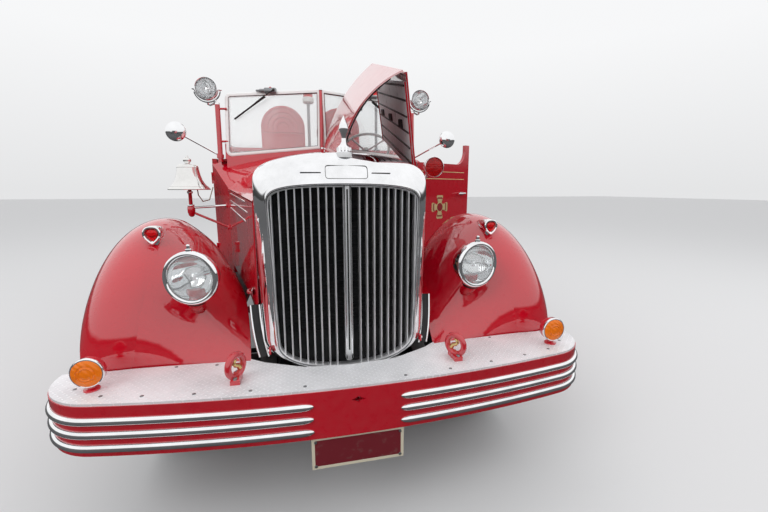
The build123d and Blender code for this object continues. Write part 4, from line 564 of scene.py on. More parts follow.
def spotlight(piece):
    """Lamp in a yoke with a pivot at each side, on the top of its post."""
    place = (0.87, 1.884, 2.294)
    lamp(piece, place, 0.088, 0.12)
    centre = spot(*place)
    piece.tube([centre + Vector((s * 0.097, 0.03, 0)) for s in (-1, -1)], 0.004, sides=6)
    piece.tube(arc(centre + Vector((0, 0.03, 0)), OUTWARD, UP, 0.096, 180, 360, 18), 0.006, sides=8)
    for side in (-1, 1):
        piece.lathe(centre + Vector((side * 0.088, 0.03, 0)), (side, 0, 0),
            mm((0, 12), (12, 12), (14, 6), (22, 5), (23, 0)), steps=12)
    low = centre + Vector((0, 0.03, -0.096))
    piece.tube([low, low + Vector((0, 0.01, -0.012)), low + Vector((-0.01, 0.016, -0.018)),
        low + Vector((-0.045, 0.002, -0.008)), POST_TOP + Vector((0.012, 0, 0.03)), POST_TOP + Vector((0, 0, 0.018)),
        POST_TOP + Vector((0, 0, 0))], 0.0085)
    piece.lathe(POST_TOP, (0, 0.06, 1), mm((0, 0), (0.3, 19.5), (14, 19.5), (20, 14), (24, 0)), steps=18)


def mirror(piece):
    """Round mirror on an arm that is clamped to the post's foot."""
    x, t, z = 1.08, 1.75, 1.95
    head = spot(x, t, z)
    piece.lathe(head, BACKWARD, mm((-14, 0), (-13.5, 30), (-8, 54), (2, 68), (12, 72), (15, 70), (13, 66)))
    piece.lathe(head, BACKWARD, mm((11, 67), (12.5, 40), (13, 0)), look=1)
    piece.lathe(head, FORWARD, mm((10, 18), (24, 16), (30, 8), (30, 0)), steps=14)
    foot = POST_FOOT + Vector((0.022, 0.004, 0.06))
    piece.tube([head + Vector((0, -0.018, 0)), head.lerp(foot, 0.5), foot], 0.0065, sides=8)
    piece.lathe(foot + Vector((-0.022, 0, -0.016)), (0, 0.06, 1), mm((-14, 19.2), (-14, 27), (14, 27), (14, 19.2)),
        steps=18, look=2)


spots = both(spotlight, "spotlight", CHROME, MIRROR, LENS, slot="chrome")
both(mirror, "door_mirror", CHROME, MIRROR, RED, slot="chrome")
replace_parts(spots[0], "spotlights_mirrors")


def warning_lamp():
    piece = Piece("warning_lamp", CHROME, MIRROR, RUBY)
    place = (0.944, 1.7, 1.712)
    lamp(piece, place, 0.09, 0.15, bezel=0.13)
    x, t, z = place
    piece.tube(route((0, 70, -40), (-50, 85, -85), (-190, 90, -125), near=(x, t, z)), [0.018, 0.014, 0.014], sides=12)
    return piece.build(slot="chrome")


def beacon(name, x, t, top_z):
    """Red dome over a white collar on a post."""
    piece = Piece(name, STEEL, RUBY, WHITE)
    piece.tube([spot(x, t, 1.9653), spot(x, t, top_z - 0.18), spot(x, t, top_z - 0.125)], [0.016, 0.016, 0.02],
        sides=16)
    piece.lathe(spot(x, t, 1.9653), UP, mm((0, 45), (8, 45), (12, 20), (30, 17)), steps=24)
    piece.lathe(spot(x, t, top_z), UP, mm((-135, 0), (-132, 50), (-120, 62), (-78, 62), (-72, 56), (-70, 0)), look=2)
    piece.lathe(spot(x, t, top_z), UP, mm((-71, 0), (-71, 50), (-60, 52), (-35, 49.5), (-14, 36), (-3, 18), (0, 0)),
        look=1)
    return piece.build(slot="amber")


warning = warning_lamp()
beacon("beacon_middle", -0.05, 3.022, 2.585)
beacon("beacon_left", 0.712, 3.022, 2.64)
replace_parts(warning, "warning_lamps")


# Moves from closed to raised, for what is fixed to the left hood

HOOD_FRONT_T, HOOD_REAR_T, HOOD_LENGTH = 0.458, 1.64, 1.182
RIDGE_A, RIDGE_B = spot(0, HOOD_FRONT_T, 1.702), spot(0, HOOD_REAR_T, 1.8)
SHOULDER_A, SHOULDER_B = spot(0.4187, HOOD_FRONT_T, 1.457), spot(0.7067, HOOD_REAR_T, 1.517)
HOOD_RAISE, LEAF_HANG = 81, 72


def turn_about(a, b, degrees):
    """Turn about the line from one point to another."""
    return Matrix.Translation(a) @ Matrix.Rotation(radians(degrees), 4, b - a) @ Matrix.Translation(-a)


RAISED_TOP = turn_about(RIDGE_A, RIDGE_B, -HOOD_RAISE)
RAISED_SIDE = RAISED_TOP @ turn_about(SHOULDER_A, SHOULDER_B, LEAF_HANG)
TOP_LEAF = {"bodies": sided("hood_top"), "move": RAISED_TOP}
SIDE_LEAF = {"bodies": sided("hood_side"), "move": RAISED_SIDE}


def hood_share(t):
    """0 at the hood's front edge and 1 at its rear edge."""
    return (t - HOOD_FRONT_T) / HOOD_LENGTH


def hood_half(t):
    """Half width of the closed hood at its shoulder."""
    return 0.432 + 0.288 * hood_share(t)


def hood_stations(count):
    """Stations just inside the hood's two ends and evenly between."""
    return [0.462 + 1.174 * i / count for i in range(count + 1)]


def hood_side_x(t, z):
    """Outer face of the hood's side when it is closed."""
    shoulder = 1.462 + 0.06 * hood_share(t)
    return hood_half(t) + 0.006 * (shoulder - z) / (shoulder - 0.96)


def hood_top_z(t, x):
    """Crown of the closed hood at a station."""
    share = hood_share(t)
    half, rise, top = hood_half(t), 0.232 + 0.038 * share, 1.702 + 0.098 * share
    radius = (half ** 2 + rise ** 2) / (2 * rise)
    return top - radius + sqrt(radius ** 2 - x ** 2)


def speed_lines(piece):
    """Three bright lines along the side leaf, which thin out at their ends."""
    for t0, t1, z0, z1 in ((0.7, 1.57, 1.46, 1.496), (0.62, 1.57, 1.405, 1.445), (0.7, 1.57, 1.353, 1.394)):
        path, radii = [], []
        for i in range(15):
            share = i / 14
            t, z = t0 + (t1 - t0) * share, z0 + (z1 - z0) * share
            path.append(spot(hood_side_x(t, z) + 0.0015, t, z))
            radii.append(0.0065 * min(1, 0.25 + 3 * min(share, 1 - share) * 4))
        piece.tube(path, radii, side=UP, flat=0.6)


def hood_latch(piece):
    """Pull handle over a plate at the front of the sill, with its hook."""
    t, z = 0.545, 1.005
    x = hood_side_x(t, z)
    piece.box(spot(x + 0.003, t, z), (0.006, 0.095, 0.034), look=1)
    piece.tube(route((6, -35, 0), (22, -30, 3), (26, 0, 4), (22, 30, 2), (6, 36, 0), near=(x, t, z)),
        [0.007, 0.008, 0.0085, 0.008, 0.007], sides=12)
    piece.lathe(spot(x + 0.006, t, z - 0.01), OUTWARD, mm((-2, 10), (4, 10), (6, 6), (6, 0)), steps=14)


def hood_vents(piece):
    """Inner face of the side leaf in a near-white grey, partly its own grey and partly painted light, with the ribs
    that run along it and its hinge clips.
    """
    columns = hood_stations(20)
    heights = [0.965 + 0.455 * i / 8 for i in range(9)]
    sheet = [[spot(hood_side_x(t, z) - 0.0095, t, z) for z in heights] for t in columns]
    back = [[spot(hood_side_x(t, z) - 0.0084, t, z) for z in reversed(heights)] for t in columns]
    piece.rings([front + rear for front, rear in zip(sheet, back)])
    for z in (1.01, 1.09, 1.17, 1.25, 1.33, 1.4):
        piece.tube([spot(hood_side_x(t, z) - 0.0115, t, z) for t in columns[1:-1]], 0.0055, sides=8, side=UP,
            flat=0.8, look=1)
    for t in (0.475, 1.625):
        piece.tube([spot(hood_side_x(t, z) - 0.0125, t, z) for z in heights], 0.007, sides=8, side=BACKWARD,
            flat=0.6, look=2)
    for t in (0.7, 1.05, 1.4):
        piece.box(spot(hood_side_x(t, 1.2) - 0.016, t, 1.2), (0.012, 0.05, 0.045), look=1)


def hood_bows(piece):
    """Underside of the top leaf in a near-white grey, partly its own grey and partly painted light, with its cross
    ribs.
    """
    rings = []
    for t in hood_stations(16):
        xs = [0.02 + (hood_half(t) - 0.062) * k / 12 for k in range(13)]
        rings.append([spot(x, t, hood_top_z(t, x) - 0.009) for x in xs]
            + [spot(x, t, hood_top_z(t, x) - 0.01) for x in reversed(xs)])
    piece.rings(rings)
    for t, radius in ((0.475, 0.007), (0.8, 0.009), (1.15, 0.009), (1.5, 0.009), (1.622, 0.007)):
        path = [spot(x, t, hood_top_z(t, x) - 0.0155)
            for x in [0.035 + (hood_half(t) - 0.085) * i / 12 for i in range(13)]]
        piece.tube(path, radius, sides=8, side=BACKWARD, flat=0.6, look=1)
        for x in (0.1, 0.22, 0.33):
            piece.lathe(spot(x, t, hood_top_z(t, x) - 0.021), (0, 0, -1), mm((-3, 6), (2, 5), (4, 0)), steps=8,
                look=1)


both(speed_lines, "speed_lines", CHROME, **SIDE_LEAF, slot="chrome")
both(hood_latch, "hood_latch", RED, CHROME, **SIDE_LEAF, slot="red_paint")
both(hood_vents, "hood_side_liner", PALE_GREY_AND_LIGHT_INNER, IRON, RED, **SIDE_LEAF, slot="red_paint")
both(hood_bows, "hood_top_liner", PALE_GREY_AND_LIGHT_INNER, IRON, **TOP_LEAF, slot="red_paint")


# Radiator shell

SHELL_BOW, SHELL_MIDDLE = 1.4, 1.15
SHELL_FACE_T, SHELL_DEPTH, SHELL_ROUND = 0.2555, 0.194, 0.186
SHELL_TOP_Z, SHELL_DROOP, OPENING_TOP_Z, HIP_Z, LIP_SHARE = 1.706, 0.36, 1.545, 0.8, 0.1


def shell_bow(x):
    """How far the shell's front lies behind its middle."""
    return SHELL_BOW - sqrt(SHELL_BOW ** 2 - x ** 2)


def arch(low, crown, hip, shoulder, square):
    """Closed outline, as (x, z) pairs: a low half below the hip and a squarer half above the shoulder."""
    (hip_x, hip_z), (shoulder_x, shoulder_z) = hip, shoulder
    top_z, droop = crown
    bottom_z, bend = low
    half = []
    for k in range(61):
        x = hip_x * sin(pi / 2 * k / 60)
        half.append((x, bottom_z + (hip_z - bottom_z) * (1 - max(0, 1 - (x / hip_x) ** bend) ** (1 / bend))))
    half += [(hip_x + (shoulder_x - hip_x) * k / 40, hip_z + (shoulder_z - hip_z) * k / 40) for k in range(1, 41)]
    for k in range(1, 101):
        a = pi / 2 * (1 - k / 100)
        x = shoulder_x * sin(a) ** (2 / square)
        half.append((x, shoulder_z + (top_z - droop * x * x - shoulder_z) * cos(a) ** (2 / square)))
    return half + [(-x, z) for x, z in reversed(half[1:-1])]


def by_angle(outline, count):
    """The outline's points at even turns about the shell's middle."""
    order = sorted((atan2(x, z - SHELL_MIDDLE), x, z) for x, z in outline)
    order = [(order[-1][0] - 2 * pi, *order[-1][1:])] + order + [(order[0][0] + 2 * pi, *order[0][1:])]
    found, at_row = [], 0
    for i in range(count):
        a = -pi + 2 * pi * (i + 0.5) / count
        while order[at_row + 1][0] < a:
            at_row += 1
        (a0, x0, z0), (a1, x1, z1) = order[at_row], order[at_row + 1]
        share = (a - a0) / (a1 - a0) if a1 > a0 else 0
        found.append((x0 + (x1 - x0) * share, z0 + (z1 - z0) * share))
    return found


OPENING_EDGE = arch((0.672, 2.3), (OPENING_TOP_Z, 0.08), (0.334, HIP_Z), (0.356, 1.44), 4.6)
SHELL_EDGE = arch((0.655, 2.3), (SHELL_TOP_Z, SHELL_DROOP), (0.412, HIP_Z), (0.424, 1.5), 6.5)
HOOD_EDGE = arch((0.7, 2.2), (1.699, 0), (0.412, HIP_Z), (0.424, 1.44), 2)


def shell_skin():
    """Bright shell: rolled lip round the opening, a front that rounds over to the sides and top, and the cap."""
    piece = Piece("radiator_shell_skin", CHROME)
    count = 240
    inner, outer, rear = (by_angle(edge, count) for edge in (OPENING_EDGE, SHELL_EDGE, HOOD_EDGE))
    steps = [(0, 0.06), (0, 0.008), (0.004, 0.003), (0.012, 0), (0.03, -0.0012), (0.06, -0.0012), (0.085, 0),
        (LIP_SHARE, 0.0012)]
    steps += [(LIP_SHARE + (1 - LIP_SHARE) * k / 18, 0.0012 + SHELL_ROUND * (1 - sqrt(max(0, 1 - (k / 18) ** 2))))
        for k in range(1, 18)]
    steps += [(0.999, 0.176), (1, 0.185), (1, SHELL_DEPTH)]
    rings = []
    for share, deep in steps:
        ring = []
        for (x0, z0), (x1, z1) in zip(inner, outer):
            x, z = x0 + (x1 - x0) * share, z0 + (z1 - z0) * share
            bowed = shell_bow(min(abs(x), 0.4)) * (1 - min(1, max(0, deep) / SHELL_DEPTH))
            ring.append(spot(x, SHELL_FACE_T + deep + bowed, z))
        rings.append(ring)
    rings.append([spot(x, 0.456, z) for x, z in rear])
    rings.append([spot(0.94 * x, 0.456, SHELL_MIDDLE + 0.96 * (z - SHELL_MIDDLE)) for x, z in rear])
    for share, deep in ((0.5, 0.11), (0.2, 0.075)):
        rings.append([spot(x0 + (x1 - x0) * share, SHELL_FACE_T + deep, z0 + (z1 - z0) * share)
            for (x0, z0), (x1, z1) in zip(inner, outer)])
    piece.rings(rings, loop=True)
    cap = spot(0, 0.35, 1.69)
    piece.lathe(cap, UP, mm((-20, 0), (-20, 40), (4, 40), (8, 33), (13, 31), (26, 31), (32, 27), (40, 18), (52, 12),
        (72, 10), (86, 14), (98, 20), (112, 22.5), (126, 20), (142, 13), (158, 6), (170, 0)), steps=40)
    for a in turns(12):
        piece.tube([cap + Vector((0.0315 * cos(a), 0.0315 * sin(a), h)) for h in (0.012, 0.027)], 0.0035, sides=6)
    return piece.build(slot="chrome", angle=50)


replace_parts(shell_skin(), "radiator_shell")


def shell_front(x, z):
    """A point just proud of the shell's front above the opening."""
    height = SHELL_TOP_Z - SHELL_DROOP * x * x - OPENING_TOP_Z
    share = min(1, max(0, (z - OPENING_TOP_Z) / height))
    run = max(0, (share - LIP_SHARE) / (1 - LIP_SHARE))
    return spot(x, SHELL_FACE_T + shell_bow(x) + SHELL_ROUND * (1 - sqrt(1 - run ** 2)) - 0.0008, z)


def shell_lines():
    piece = Piece("shell_lines", SEAL)
    for side in (-1, 1):
        piece.tube([shell_front(side * (0.115 + 0.015 * i), 1.6) for i in range(7)], 0.0018, sides=8)
    piece.tube([shell_front(u, 1.603 + v) for u, v in rounded(0.19, 0.058, 0.012, 4)], 0.0012, sides=8, loop=True)
    return piece.build(slot="black_paint")


shell_lines()


def edge_z(x, upper):
    """Height of the opening's lower or upper edge at a distance from the middle."""
    half = [(px, pz) for px, pz in OPENING_EDGE if px >= 0 and (pz > SHELL_MIDDLE) == upper]
    return min(half, key=lambda p: abs(p[0] - abs(x)))[1]


BLADES_A_SIDE, BLADE_FIRST_X, BLADE_PITCH, BLADE_W = 9, 0.058, 0.035, 0.0075


def grille_blades():
    """Frame in the opening, upright rounded blades and the broad middle bar, whose sunk channel is drawn as a
    near-black strip of painted shade between two bright beads.
    """
    piece = Piece("grille_blades", BLADE, BLACK_CORE_AND_SHADE, CHROME)
    inner = by_angle(OPENING_EDGE, 200)
    rings = []
    for share, deep in ((0.004, 0.012), (0.004, 0.05), (0.022, 0.05), (0.022, 0.014), (0.018, 0.01), (0.008, 0.009)):
        rings.append([spot(x * (1 - share), SHELL_FACE_T + deep + shell_bow(x),
            SHELL_MIDDLE + (z - SHELL_MIDDLE) * (1 - share)) for x, z in inner])
    piece.rings(rings, loop=True)
    section = [(-0.5, 1), (-0.5, 0.12), (-0.3, 0.02), (0, -0.02), (0.3, 0.02), (0.5, 0.12), (0.5, 1)]
    for index in range(BLADES_A_SIDE):
        for side in (-1, 1):
            x = side * (BLADE_FIRST_X + BLADE_PITCH * index)
            low, high = edge_z(x, False) + 0.006, edge_z(x, True) - 0.004
            front = SHELL_FACE_T + 0.011 + shell_bow(x)
            rings = []
            for k in range(9):
                z = low + (high - low) * k / 8
                rings.append([spot(x + u * BLADE_W, front + v * 0.04, z) for u, v in section])
            piece.rings(rings)
    front = SHELL_FACE_T + 0.009
    half, low, high = 0.0185, edge_z(0, False) + 0.03, edge_z(0, True) - 0.002
    outline = [(half, high), (-half, high), (-half, low + half)]
    outline += [(-half * cos(radians(a)), low + half - half * sin(radians(a))) for a in range(15, 180, 15)]
    outline += [(half, low + half)]
    piece.rings([[spot(x * k, t, SHELL_MIDDLE + (z - SHELL_MIDDLE) * (1 - (1 - k) * 0.05)) for x, z in outline]
        for t, k in ((front + 0.03, 1), (front + 0.003, 1), (front, 0.86))])
    for side in (-1, 1):
        x = side * 0.0135
        piece.tube([spot(x, front - 0.001, high), spot(x, front - 0.001, (low + high) / 2),
            spot(x, front - 0.001, low + 0.012)], 0.004, look=2, side=OUTWARD, flat=0.7)
    # Painted shade: this near-black strip on the bar's face stands for the shade in the sunk channel.
    piece.box(spot(0, front + 0.001, (low + high) / 2 + 0.02), (0.0075, 0.004, high - low - 0.07), look=1, edge=0.001)
    return piece.build(slot="chrome")


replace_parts(grille_blades(), "grille")


def shell_clip(piece):
    """Small painted clip that holds the shell's skirt."""
    x, t, z = 0.378, 0.318, 0.77
    piece.box(spot(x - 0.004, t - 0.004, z), (0.01, 0.03, 0.034))
    piece.lathe(spot(x + 0.001, t - 0.004, z), OUTWARD, mm((0, 7), (6, 7), (8, 4), (8, 0)), steps=12, look=1)


both(shell_clip, "shell_clip", RED, CHROME, slot="red_paint")


def flange_strip(piece):
    """Rubber strip between two bright beads that closes the joint of shell and fender."""
    rail = [(0.446, 0.452, 0.96), (0.442, 0.436, 0.9), (0.436, 0.418, 0.85), (0.428, 0.4, 0.8), (0.416, 0.383, 0.75),
        (0.406, 0.37, 0.718)]
    path = [spot(*p) for p in rail]
    piece.tube(path, 0.02, sides=14, look=1, side=OUTWARD, flat=0.45)
    for shift in (-0.021, 0.021):
        piece.tube([p + Vector((shift, -0.004, 0)) for p in path], 0.0055)


both(flange_strip, "flange_strip", CHROME, SEAL, slot="chrome")


# Windshield trim and wipers

SCREEN_X = Vector((0.79, 0.155, 0)).normalized()
SCREEN_Z = SCREEN_X.cross(Vector((0, 0.11, 1)).normalized()).normalized()
SCREEN_Y = SCREEN_Z.cross(SCREEN_X)
SCREEN_ORIGIN = spot(0, 1.735, 1.838)
SCREEN_W = sqrt(0.79 ** 2 + 0.155 ** 2)


def on_screen(u, v, out=0):
    """A point on the left pane's plane; out counts forward."""
    return SCREEN_ORIGIN + SCREEN_X * u + SCREEN_Y * v + SCREEN_Z * out


def pane_outline(inset, radius):
    """The left pane's surround with rounded outer corners."""
    left, right = 0.014 + inset, SCREEN_W - 0.046 - inset
    low_in, low_out = 0.006 + inset, -0.052 + inset
    high_in, high_out = 0.467 - inset, 0.433 - inset
    points = [(left, low_in)]
    for cu, cv, start in ((right - radius, low_out + radius, 270), (right - radius, high_out - radius, 0)):
        points += [(cu + radius * cos(radians(start + a)), cv + radius * sin(radians(start + a)))
            for a in range(0, 91, 15)]
    return points + [(left, high_in)]


def pane_trim(piece):
    """Pale rubber round a pane with a dark bead inside it."""
    rail = [on_screen(u, v, 0.012 * OUT) for u, v in pane_outline(0.0115, 0.03)]
    piece.tube(rail, 0.0046, sides=12, loop=True, side=SCREEN_Z, flat=3.3)
    piece.tube([on_screen(u, v, 0.0125 * OUT) for u, v in pane_outline(0.0225, 0.019)], 0.003, sides=8, loop=True,
        side=SCREEN_Z, look=1)


OUT = 1 if SCREEN_Z.y < 0 else -1
both(pane_trim, "pane_gasket", GASKET, SEAL, slot="chrome")


def centre_post():
    piece = Piece("centre_post", RED, CHROME)
    low, high = spot(0, 1.722, 1.842), spot(0, 1.722 + 0.47 * 0.11, 2.312)
    piece.tube([low, high], 0.0115, sides=16, side=OUTWARD, flat=0.8)
    for end, up in ((high, 1), (low, -1)):
        piece.lathe(end, (0, 0.11 * up, up), mm((-12, 13.5), (0, 13.5), (4, 9), (5, 0)), steps=16, look=1)
    return piece.build(slot="red_paint")


centre_post()


def wiper(piece):
    """Motor on the top of the frame, with its arm and blade parked outward."""
    base = on_screen(0.4, 0.452, 0.026 * OUT)
    along, up, out = SCREEN_X, SCREEN_Y, SCREEN_Z * OUT
    turn = Matrix((along, up, out)).transposed()
    piece.box(base, (0.095, 0.04, 0.034), turn, look=1, edge=0.006)
    piece.lathe(base + along * 0.052, along, mm((-6, 14), (30, 14), (36, 9), (60, 8), (62, 0)), steps=14, look=1)
    piece.lathe(base + up * 0.018, up, mm((0, 10), (8, 10), (12, 6), (13, 0)), steps=12, look=3)
    pivot = base + out * 0.012 - along * 0.03
    piece.lathe(pivot, out, mm((0, 10), (14, 10), (18, 6), (18, 0)), steps=12)
    tip = on_screen(0.69, 0.235, 0.016 * OUT)
    mid = pivot.lerp(tip, 0.56) + out * 0.004
    piece.tube([pivot + out * 0.014, pivot.lerp(mid, 0.5) + out * 0.018, mid + out * 0.006], [0.0045, 0.004, 0.003],
        sides=8)
    start = pivot.lerp(tip, 0.22)
    piece.tube([start + out * 0.002, mid + out * 0.003, tip + out * 0.002], 0.0045, sides=8)
    piece.tube([start - out * 0.006, mid - out * 0.006, tip - out * 0.006], 0.005, sides=8, look=2)


both(wiper, "wiper", IRON, STEEL, SEAL, RED, slot="chrome")


# Tyres and wheels

AXLE_Z, FRONT_AXLE_T, REAR_AXLE_T = 0.515, 1.02, 5.82
TYRE_RADIUS, BEAD_RADIUS = 0.515, 0.2725


def tyre(piece, x, t):
    """Ribbed truck tyre with zigzag grooves, notched shoulders and plain rings on its walls."""
    steps, ribs = 160, 4
    crown, bead = TYRE_RADIUS, BEAD_RADIUS
    wall = [(0.088, bead), (0.0975, bead + 0.012), (0.1035, bead + 0.026), (0.101, bead + 0.034), (0.113, 0.325),
        (0.1225, 0.352), (0.1245, 0.355), (0.1245, 0.361), (0.1285, 0.385), (0.127, 0.415), (0.1215, 0.447),
        (0.1225, 0.45), (0.119, 0.458), (0.1145, 0.478)]
    grooves = (-0.066, -0.022, 0.022, 0.066)
    rings = []
    for i, angle in enumerate(turns(steps)):
        phase = i % ribs / ribs
        zig = 0.0045 * (1 - 4 * abs(phase - 0.5))
        notch = 0.007 if i % 4 == 0 else 0
        flank = wall + [(0.111, 0.493 - notch), (0.104 - notch * 0.6, crown - 0.0145 - notch)]
        surface = []
        for centre in reversed(grooves):
            for shift, deep in ((0.0055, 0), (0.0035, 1), (-0.0035, 1), (-0.0055, 0)):
                w = centre + shift + zig
                surface.append((w, crown - 0.014 * (w / 0.105) ** 2 - 0.011 * deep))
        section = flank + surface + [(-w, r) for w, r in reversed(flank)] + [(-0.06, bead - 0.018),
            (0.06, bead - 0.018)]
        rings.append([spot(x + w, t + r * sin(angle), AXLE_Z + r * cos(angle)) for w, r in section])
    piece.rings(rings, loop=True)


def front_tyre(piece):
    tyre(piece, 0.98, FRONT_AXLE_T)


def rear_tyres(piece):
    for x in (0.74, 1.04):
        tyre(piece, x, REAR_AXLE_T)


FRONT_WHEELS, REAR_WHEELS = sided("front_wheel"), sided("rear_wheels")
for made, kind in ((both(front_tyre, "front_tyre", RUBBER, bodies=FRONT_WHEELS, slot="tyre"), "tyre_front"),
        (both(rear_tyres, "rear_tyre_pair", RUBBER, bodies=REAR_WHEELS, slot="tyre"), "tyres_rear")):
    for obj, side in zip(made, ("left", "right")):
        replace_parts(obj, f"{kind}_{side}")


def nut(piece, centre, axis, radius, height, look=0):
    """Hexagon nut with the stud's end in it."""
    piece.lathe(centre, axis, [(-0.002, radius), (height * 0.85, radius), (height, radius * 0.86), (height, 0)],
        steps=6, look=look)
    piece.lathe(Vector(centre) + Vector(axis) * height, axis,
        [(-0.001, radius * 0.5), (height * 0.35, radius * 0.45), (height * 0.4, 0)], steps=8, look=look)


def bolt_circle(piece, x, t, z, ring, count, radius, height, look=0):
    for a in turns(count):
        nut(piece, spot(x, t + ring * sin(a), z + ring * cos(a)), OUTWARD, radius, height, look)


def rim_beads(piece, x, t):
    """Two bright beads on the rim's outer flange."""
    for radius in (0.2735, 0.262):
        piece.tube(circle(spot(x, t, AXLE_Z), BACKWARD, UP, radius, 64), 0.0022, sides=6, look=1, loop=True)


def front_hub(piece):
    t, z = FRONT_AXLE_T, AXLE_Z
    bolt_circle(piece, 0.9652, t, z, 0.0895, 8, 0.0105, 0.015)
    piece.lathe(spot(1.075, t, z), OUTWARD, mm((-4, 58), (2, 58), (6, 54), (10, 46), (18, 36), (22, 22), (23, 0)),
        steps=40, look=1)
    bolt_circle(piece, 1.0765, t, z, 0.05, 6, 0.0045, 0.004, look=1)
    rim_beads(piece, 1.0785, t)
    piece.tube(route((1000, 0, 238), (1045, 0, 232), (1062, 0, 226), near=(0, t, z)), 0.005, look=1)


def rear_hub(piece):
    t, z = REAR_AXLE_T, AXLE_Z
    bolt_circle(piece, 0.9025, t, z, 0.125, 10, 0.0125, 0.02)
    piece.lathe(spot(1.105, t, z), OUTWARD, mm((-4, 66), (6, 66), (10, 62), (10, 34), (16, 30), (18, 0)), steps=36,
        look=2)
    bolt_circle(piece, 1.1155, t, z, 0.048, 8, 0.0065, 0.008)
    rim_beads(piece, 1.1385, t)


both(front_hub, "front_hub_trim", STEEL, CHROME, bodies=FRONT_WHEELS, slot="chrome")
both(rear_hub, "rear_hub_trim", STEEL, CHROME, RED, bodies=REAR_WHEELS, slot="chrome")


# Bell

def bell():
    """Wide-shouldered bell with its knob, on the post and the two arms that carry it, and its pull cord."""
    piece = Piece("bell_and_post", BELL_METAL, CANVAS, RED, CHROME)
    x, t, mouth = -1.008, 1.715, 1.52
    piece.lathe(spot(x, t, mouth), UP, mm((178, 0), (170, 58), (120, 72), (60, 92), (28, 112), (4, 137), (0, 140),
        (0, 145), (4, 146.5), (10, 144.5), (18, 137), (32, 122.5), (50, 108), (75, 94.5), (105, 85), (135, 78.5),
        (160, 74.5), (174, 72), (183, 67), (188, 57), (190, 40), (193, 22), (198, 18), (204, 18), (208, 24),
        (214, 27.5), (224, 27.5), (234, 22), (240, 12), (243, 9), (250, 9), (254, 0)), steps=64)
    for height, radius, bead in ((0.0045, 0.1455, 0.0022), (0.024, 0.1305, 0.0014), (0.165, 0.0745, 0.0016)):
        piece.tube(circle(spot(x, t, mouth + height), OUTWARD, BACKWARD, radius, 64), bead, sides=8, loop=True)
    piece.tube(route((0, 0, 175), (0, 0, 0), (0, 0, -165), near=(x, t, mouth)), 0.013, sides=20, look=2)
    for height, radius in ((-0.018, 0.02), (-0.118, 0.024)):
        piece.lathe(spot(x, t, mouth + height), UP, [(-0.01, 0), (-0.01, radius * 0.8), (-0.006, radius),
            (0.006, radius), (0.01, radius * 0.8), (0.01, 0)], steps=24, look=3)
    piece.lathe(spot(x, t, mouth - 0.15), UP, mm((-55, 0), (-53, 10), (-43, 20), (-27, 23.5), (-22, 27), (22, 27),
        (30, 20), (32, 0)), steps=24, look=2)
    for low, high, look in ((-0.135, -0.12, 3), (-0.165, -0.29, 2)):
        piece.tube([spot(x, t, mouth + low), spot((x - 0.744) / 2, t, mouth + (low + high) / 2),
            spot(-0.744, t, mouth + high)], 0.009, sides=14, look=look)
        piece.lathe(spot(-0.748, t, mouth + high), (-1, 0, 0), mm((-20, 0), (-20, 22), (4, 22), (8, 15), (8, 0)),
            steps=18, look=2)
    cord = route((50, 0, 50), (54, 20, -40), (70, 80, -90), (100, 170, -80), (120, 240, 20), near=(x, t, mouth))
    piece.tube(cord, 0.0042, sides=8, look=1)
    return piece.build(slot="bell_metal", angle=50)


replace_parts(bell(), "bell")


# Cab: wheel, dash, pedals and doors

WHEEL_CENTRE = spot(0.45, 2.26, 1.89)
WHEEL_AXIS = Vector((0, sin(radians(35)), cos(radians(35))))
WHEEL_UP = Vector((0, -cos(radians(35)), sin(radians(35))))
BAKELITE = grained("steering_bakelite", rgb(0.34, 0.345, 0.33), rough=0.28, grain=40, depth=0.04, coat=0.7)


def steering_wheel():
    piece = Piece("steering_wheel_rim", BAKELITE, SATIN, CHROME)
    steps = 120
    path, radii = [], []
    for i in range(steps):
        a = 2 * pi * i / steps
        path.append(WHEEL_CENTRE + (Vector((1, 0, 0)) * cos(a) + WHEEL_UP * sin(a)) * 0.225)
        radii.append(0.0125 if i % 5 else 0.0112)
    piece.tube(path, radii, sides=14, loop=True, side=WHEEL_AXIS)
    for i in range(4):
        a = radians(45 + 90 * i)
        along = Vector((1, 0, 0)) * cos(a) + WHEEL_UP * sin(a)
        points = [WHEEL_CENTRE + along * r + WHEEL_AXIS * h
            for r, h in ((0.028, -0.01), (0.09, -0.006), (0.16, -0.002), (0.222, 0))]
        piece.tube(points, [0.0085, 0.0065, 0.006, 0.0085], look=1, side=WHEEL_AXIS, flat=1.5)
    piece.lathe(WHEEL_CENTRE, WHEEL_AXIS, mm((-22, 0), (-22, 34), (4, 36), (12, 33), (14, 26)))
    piece.lathe(WHEEL_CENTRE, WHEEL_AXIS, mm((10, 27), (18, 25), (22, 18), (24, 0)), steps=28, look=2)
    return piece.build(body="steering_wheel", slot="black_paint")


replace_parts(steering_wheel(), "steering_wheel")


def dial(piece, centre, axis, up, radius, ticks=9, face=0, rim=1, mark=2):
    """Gauge with a bright rim, a blank face, tick marks and a needle."""
    axis, up = Vector(axis).normalized(), Vector(up).normalized()
    across = up.cross(axis).normalized()
    piece.lathe(centre, axis, [(-0.004, radius * 1.02), (0.005, radius * 1.02), (0.008, radius * 0.96),
        (0.006, radius * 0.88), (0.002, radius * 0.88)], look=rim)
    piece.lathe(centre, axis, [(0.0015, radius * 0.9), (0.0022, 0)], look=face)
    for i in range(ticks):
        a = radians(-130 + 260 * i / (ticks - 1))
        out = up * cos(a) + across * sin(a)
        piece.tube([Vector(centre) + out * radius * 0.66 + axis * 0.0028,
            Vector(centre) + out * radius * 0.8 + axis * 0.0028], radius * 0.014, sides=4, look=mark)
    out = up * cos(radians(-100)) + across * sin(radians(-100))
    piece.tube([Vector(centre) - out * radius * 0.14 + axis * 0.0038,
        Vector(centre) + out * radius * 0.62 + axis * 0.0038], [radius * 0.035, radius * 0.01], sides=5, look=mark)


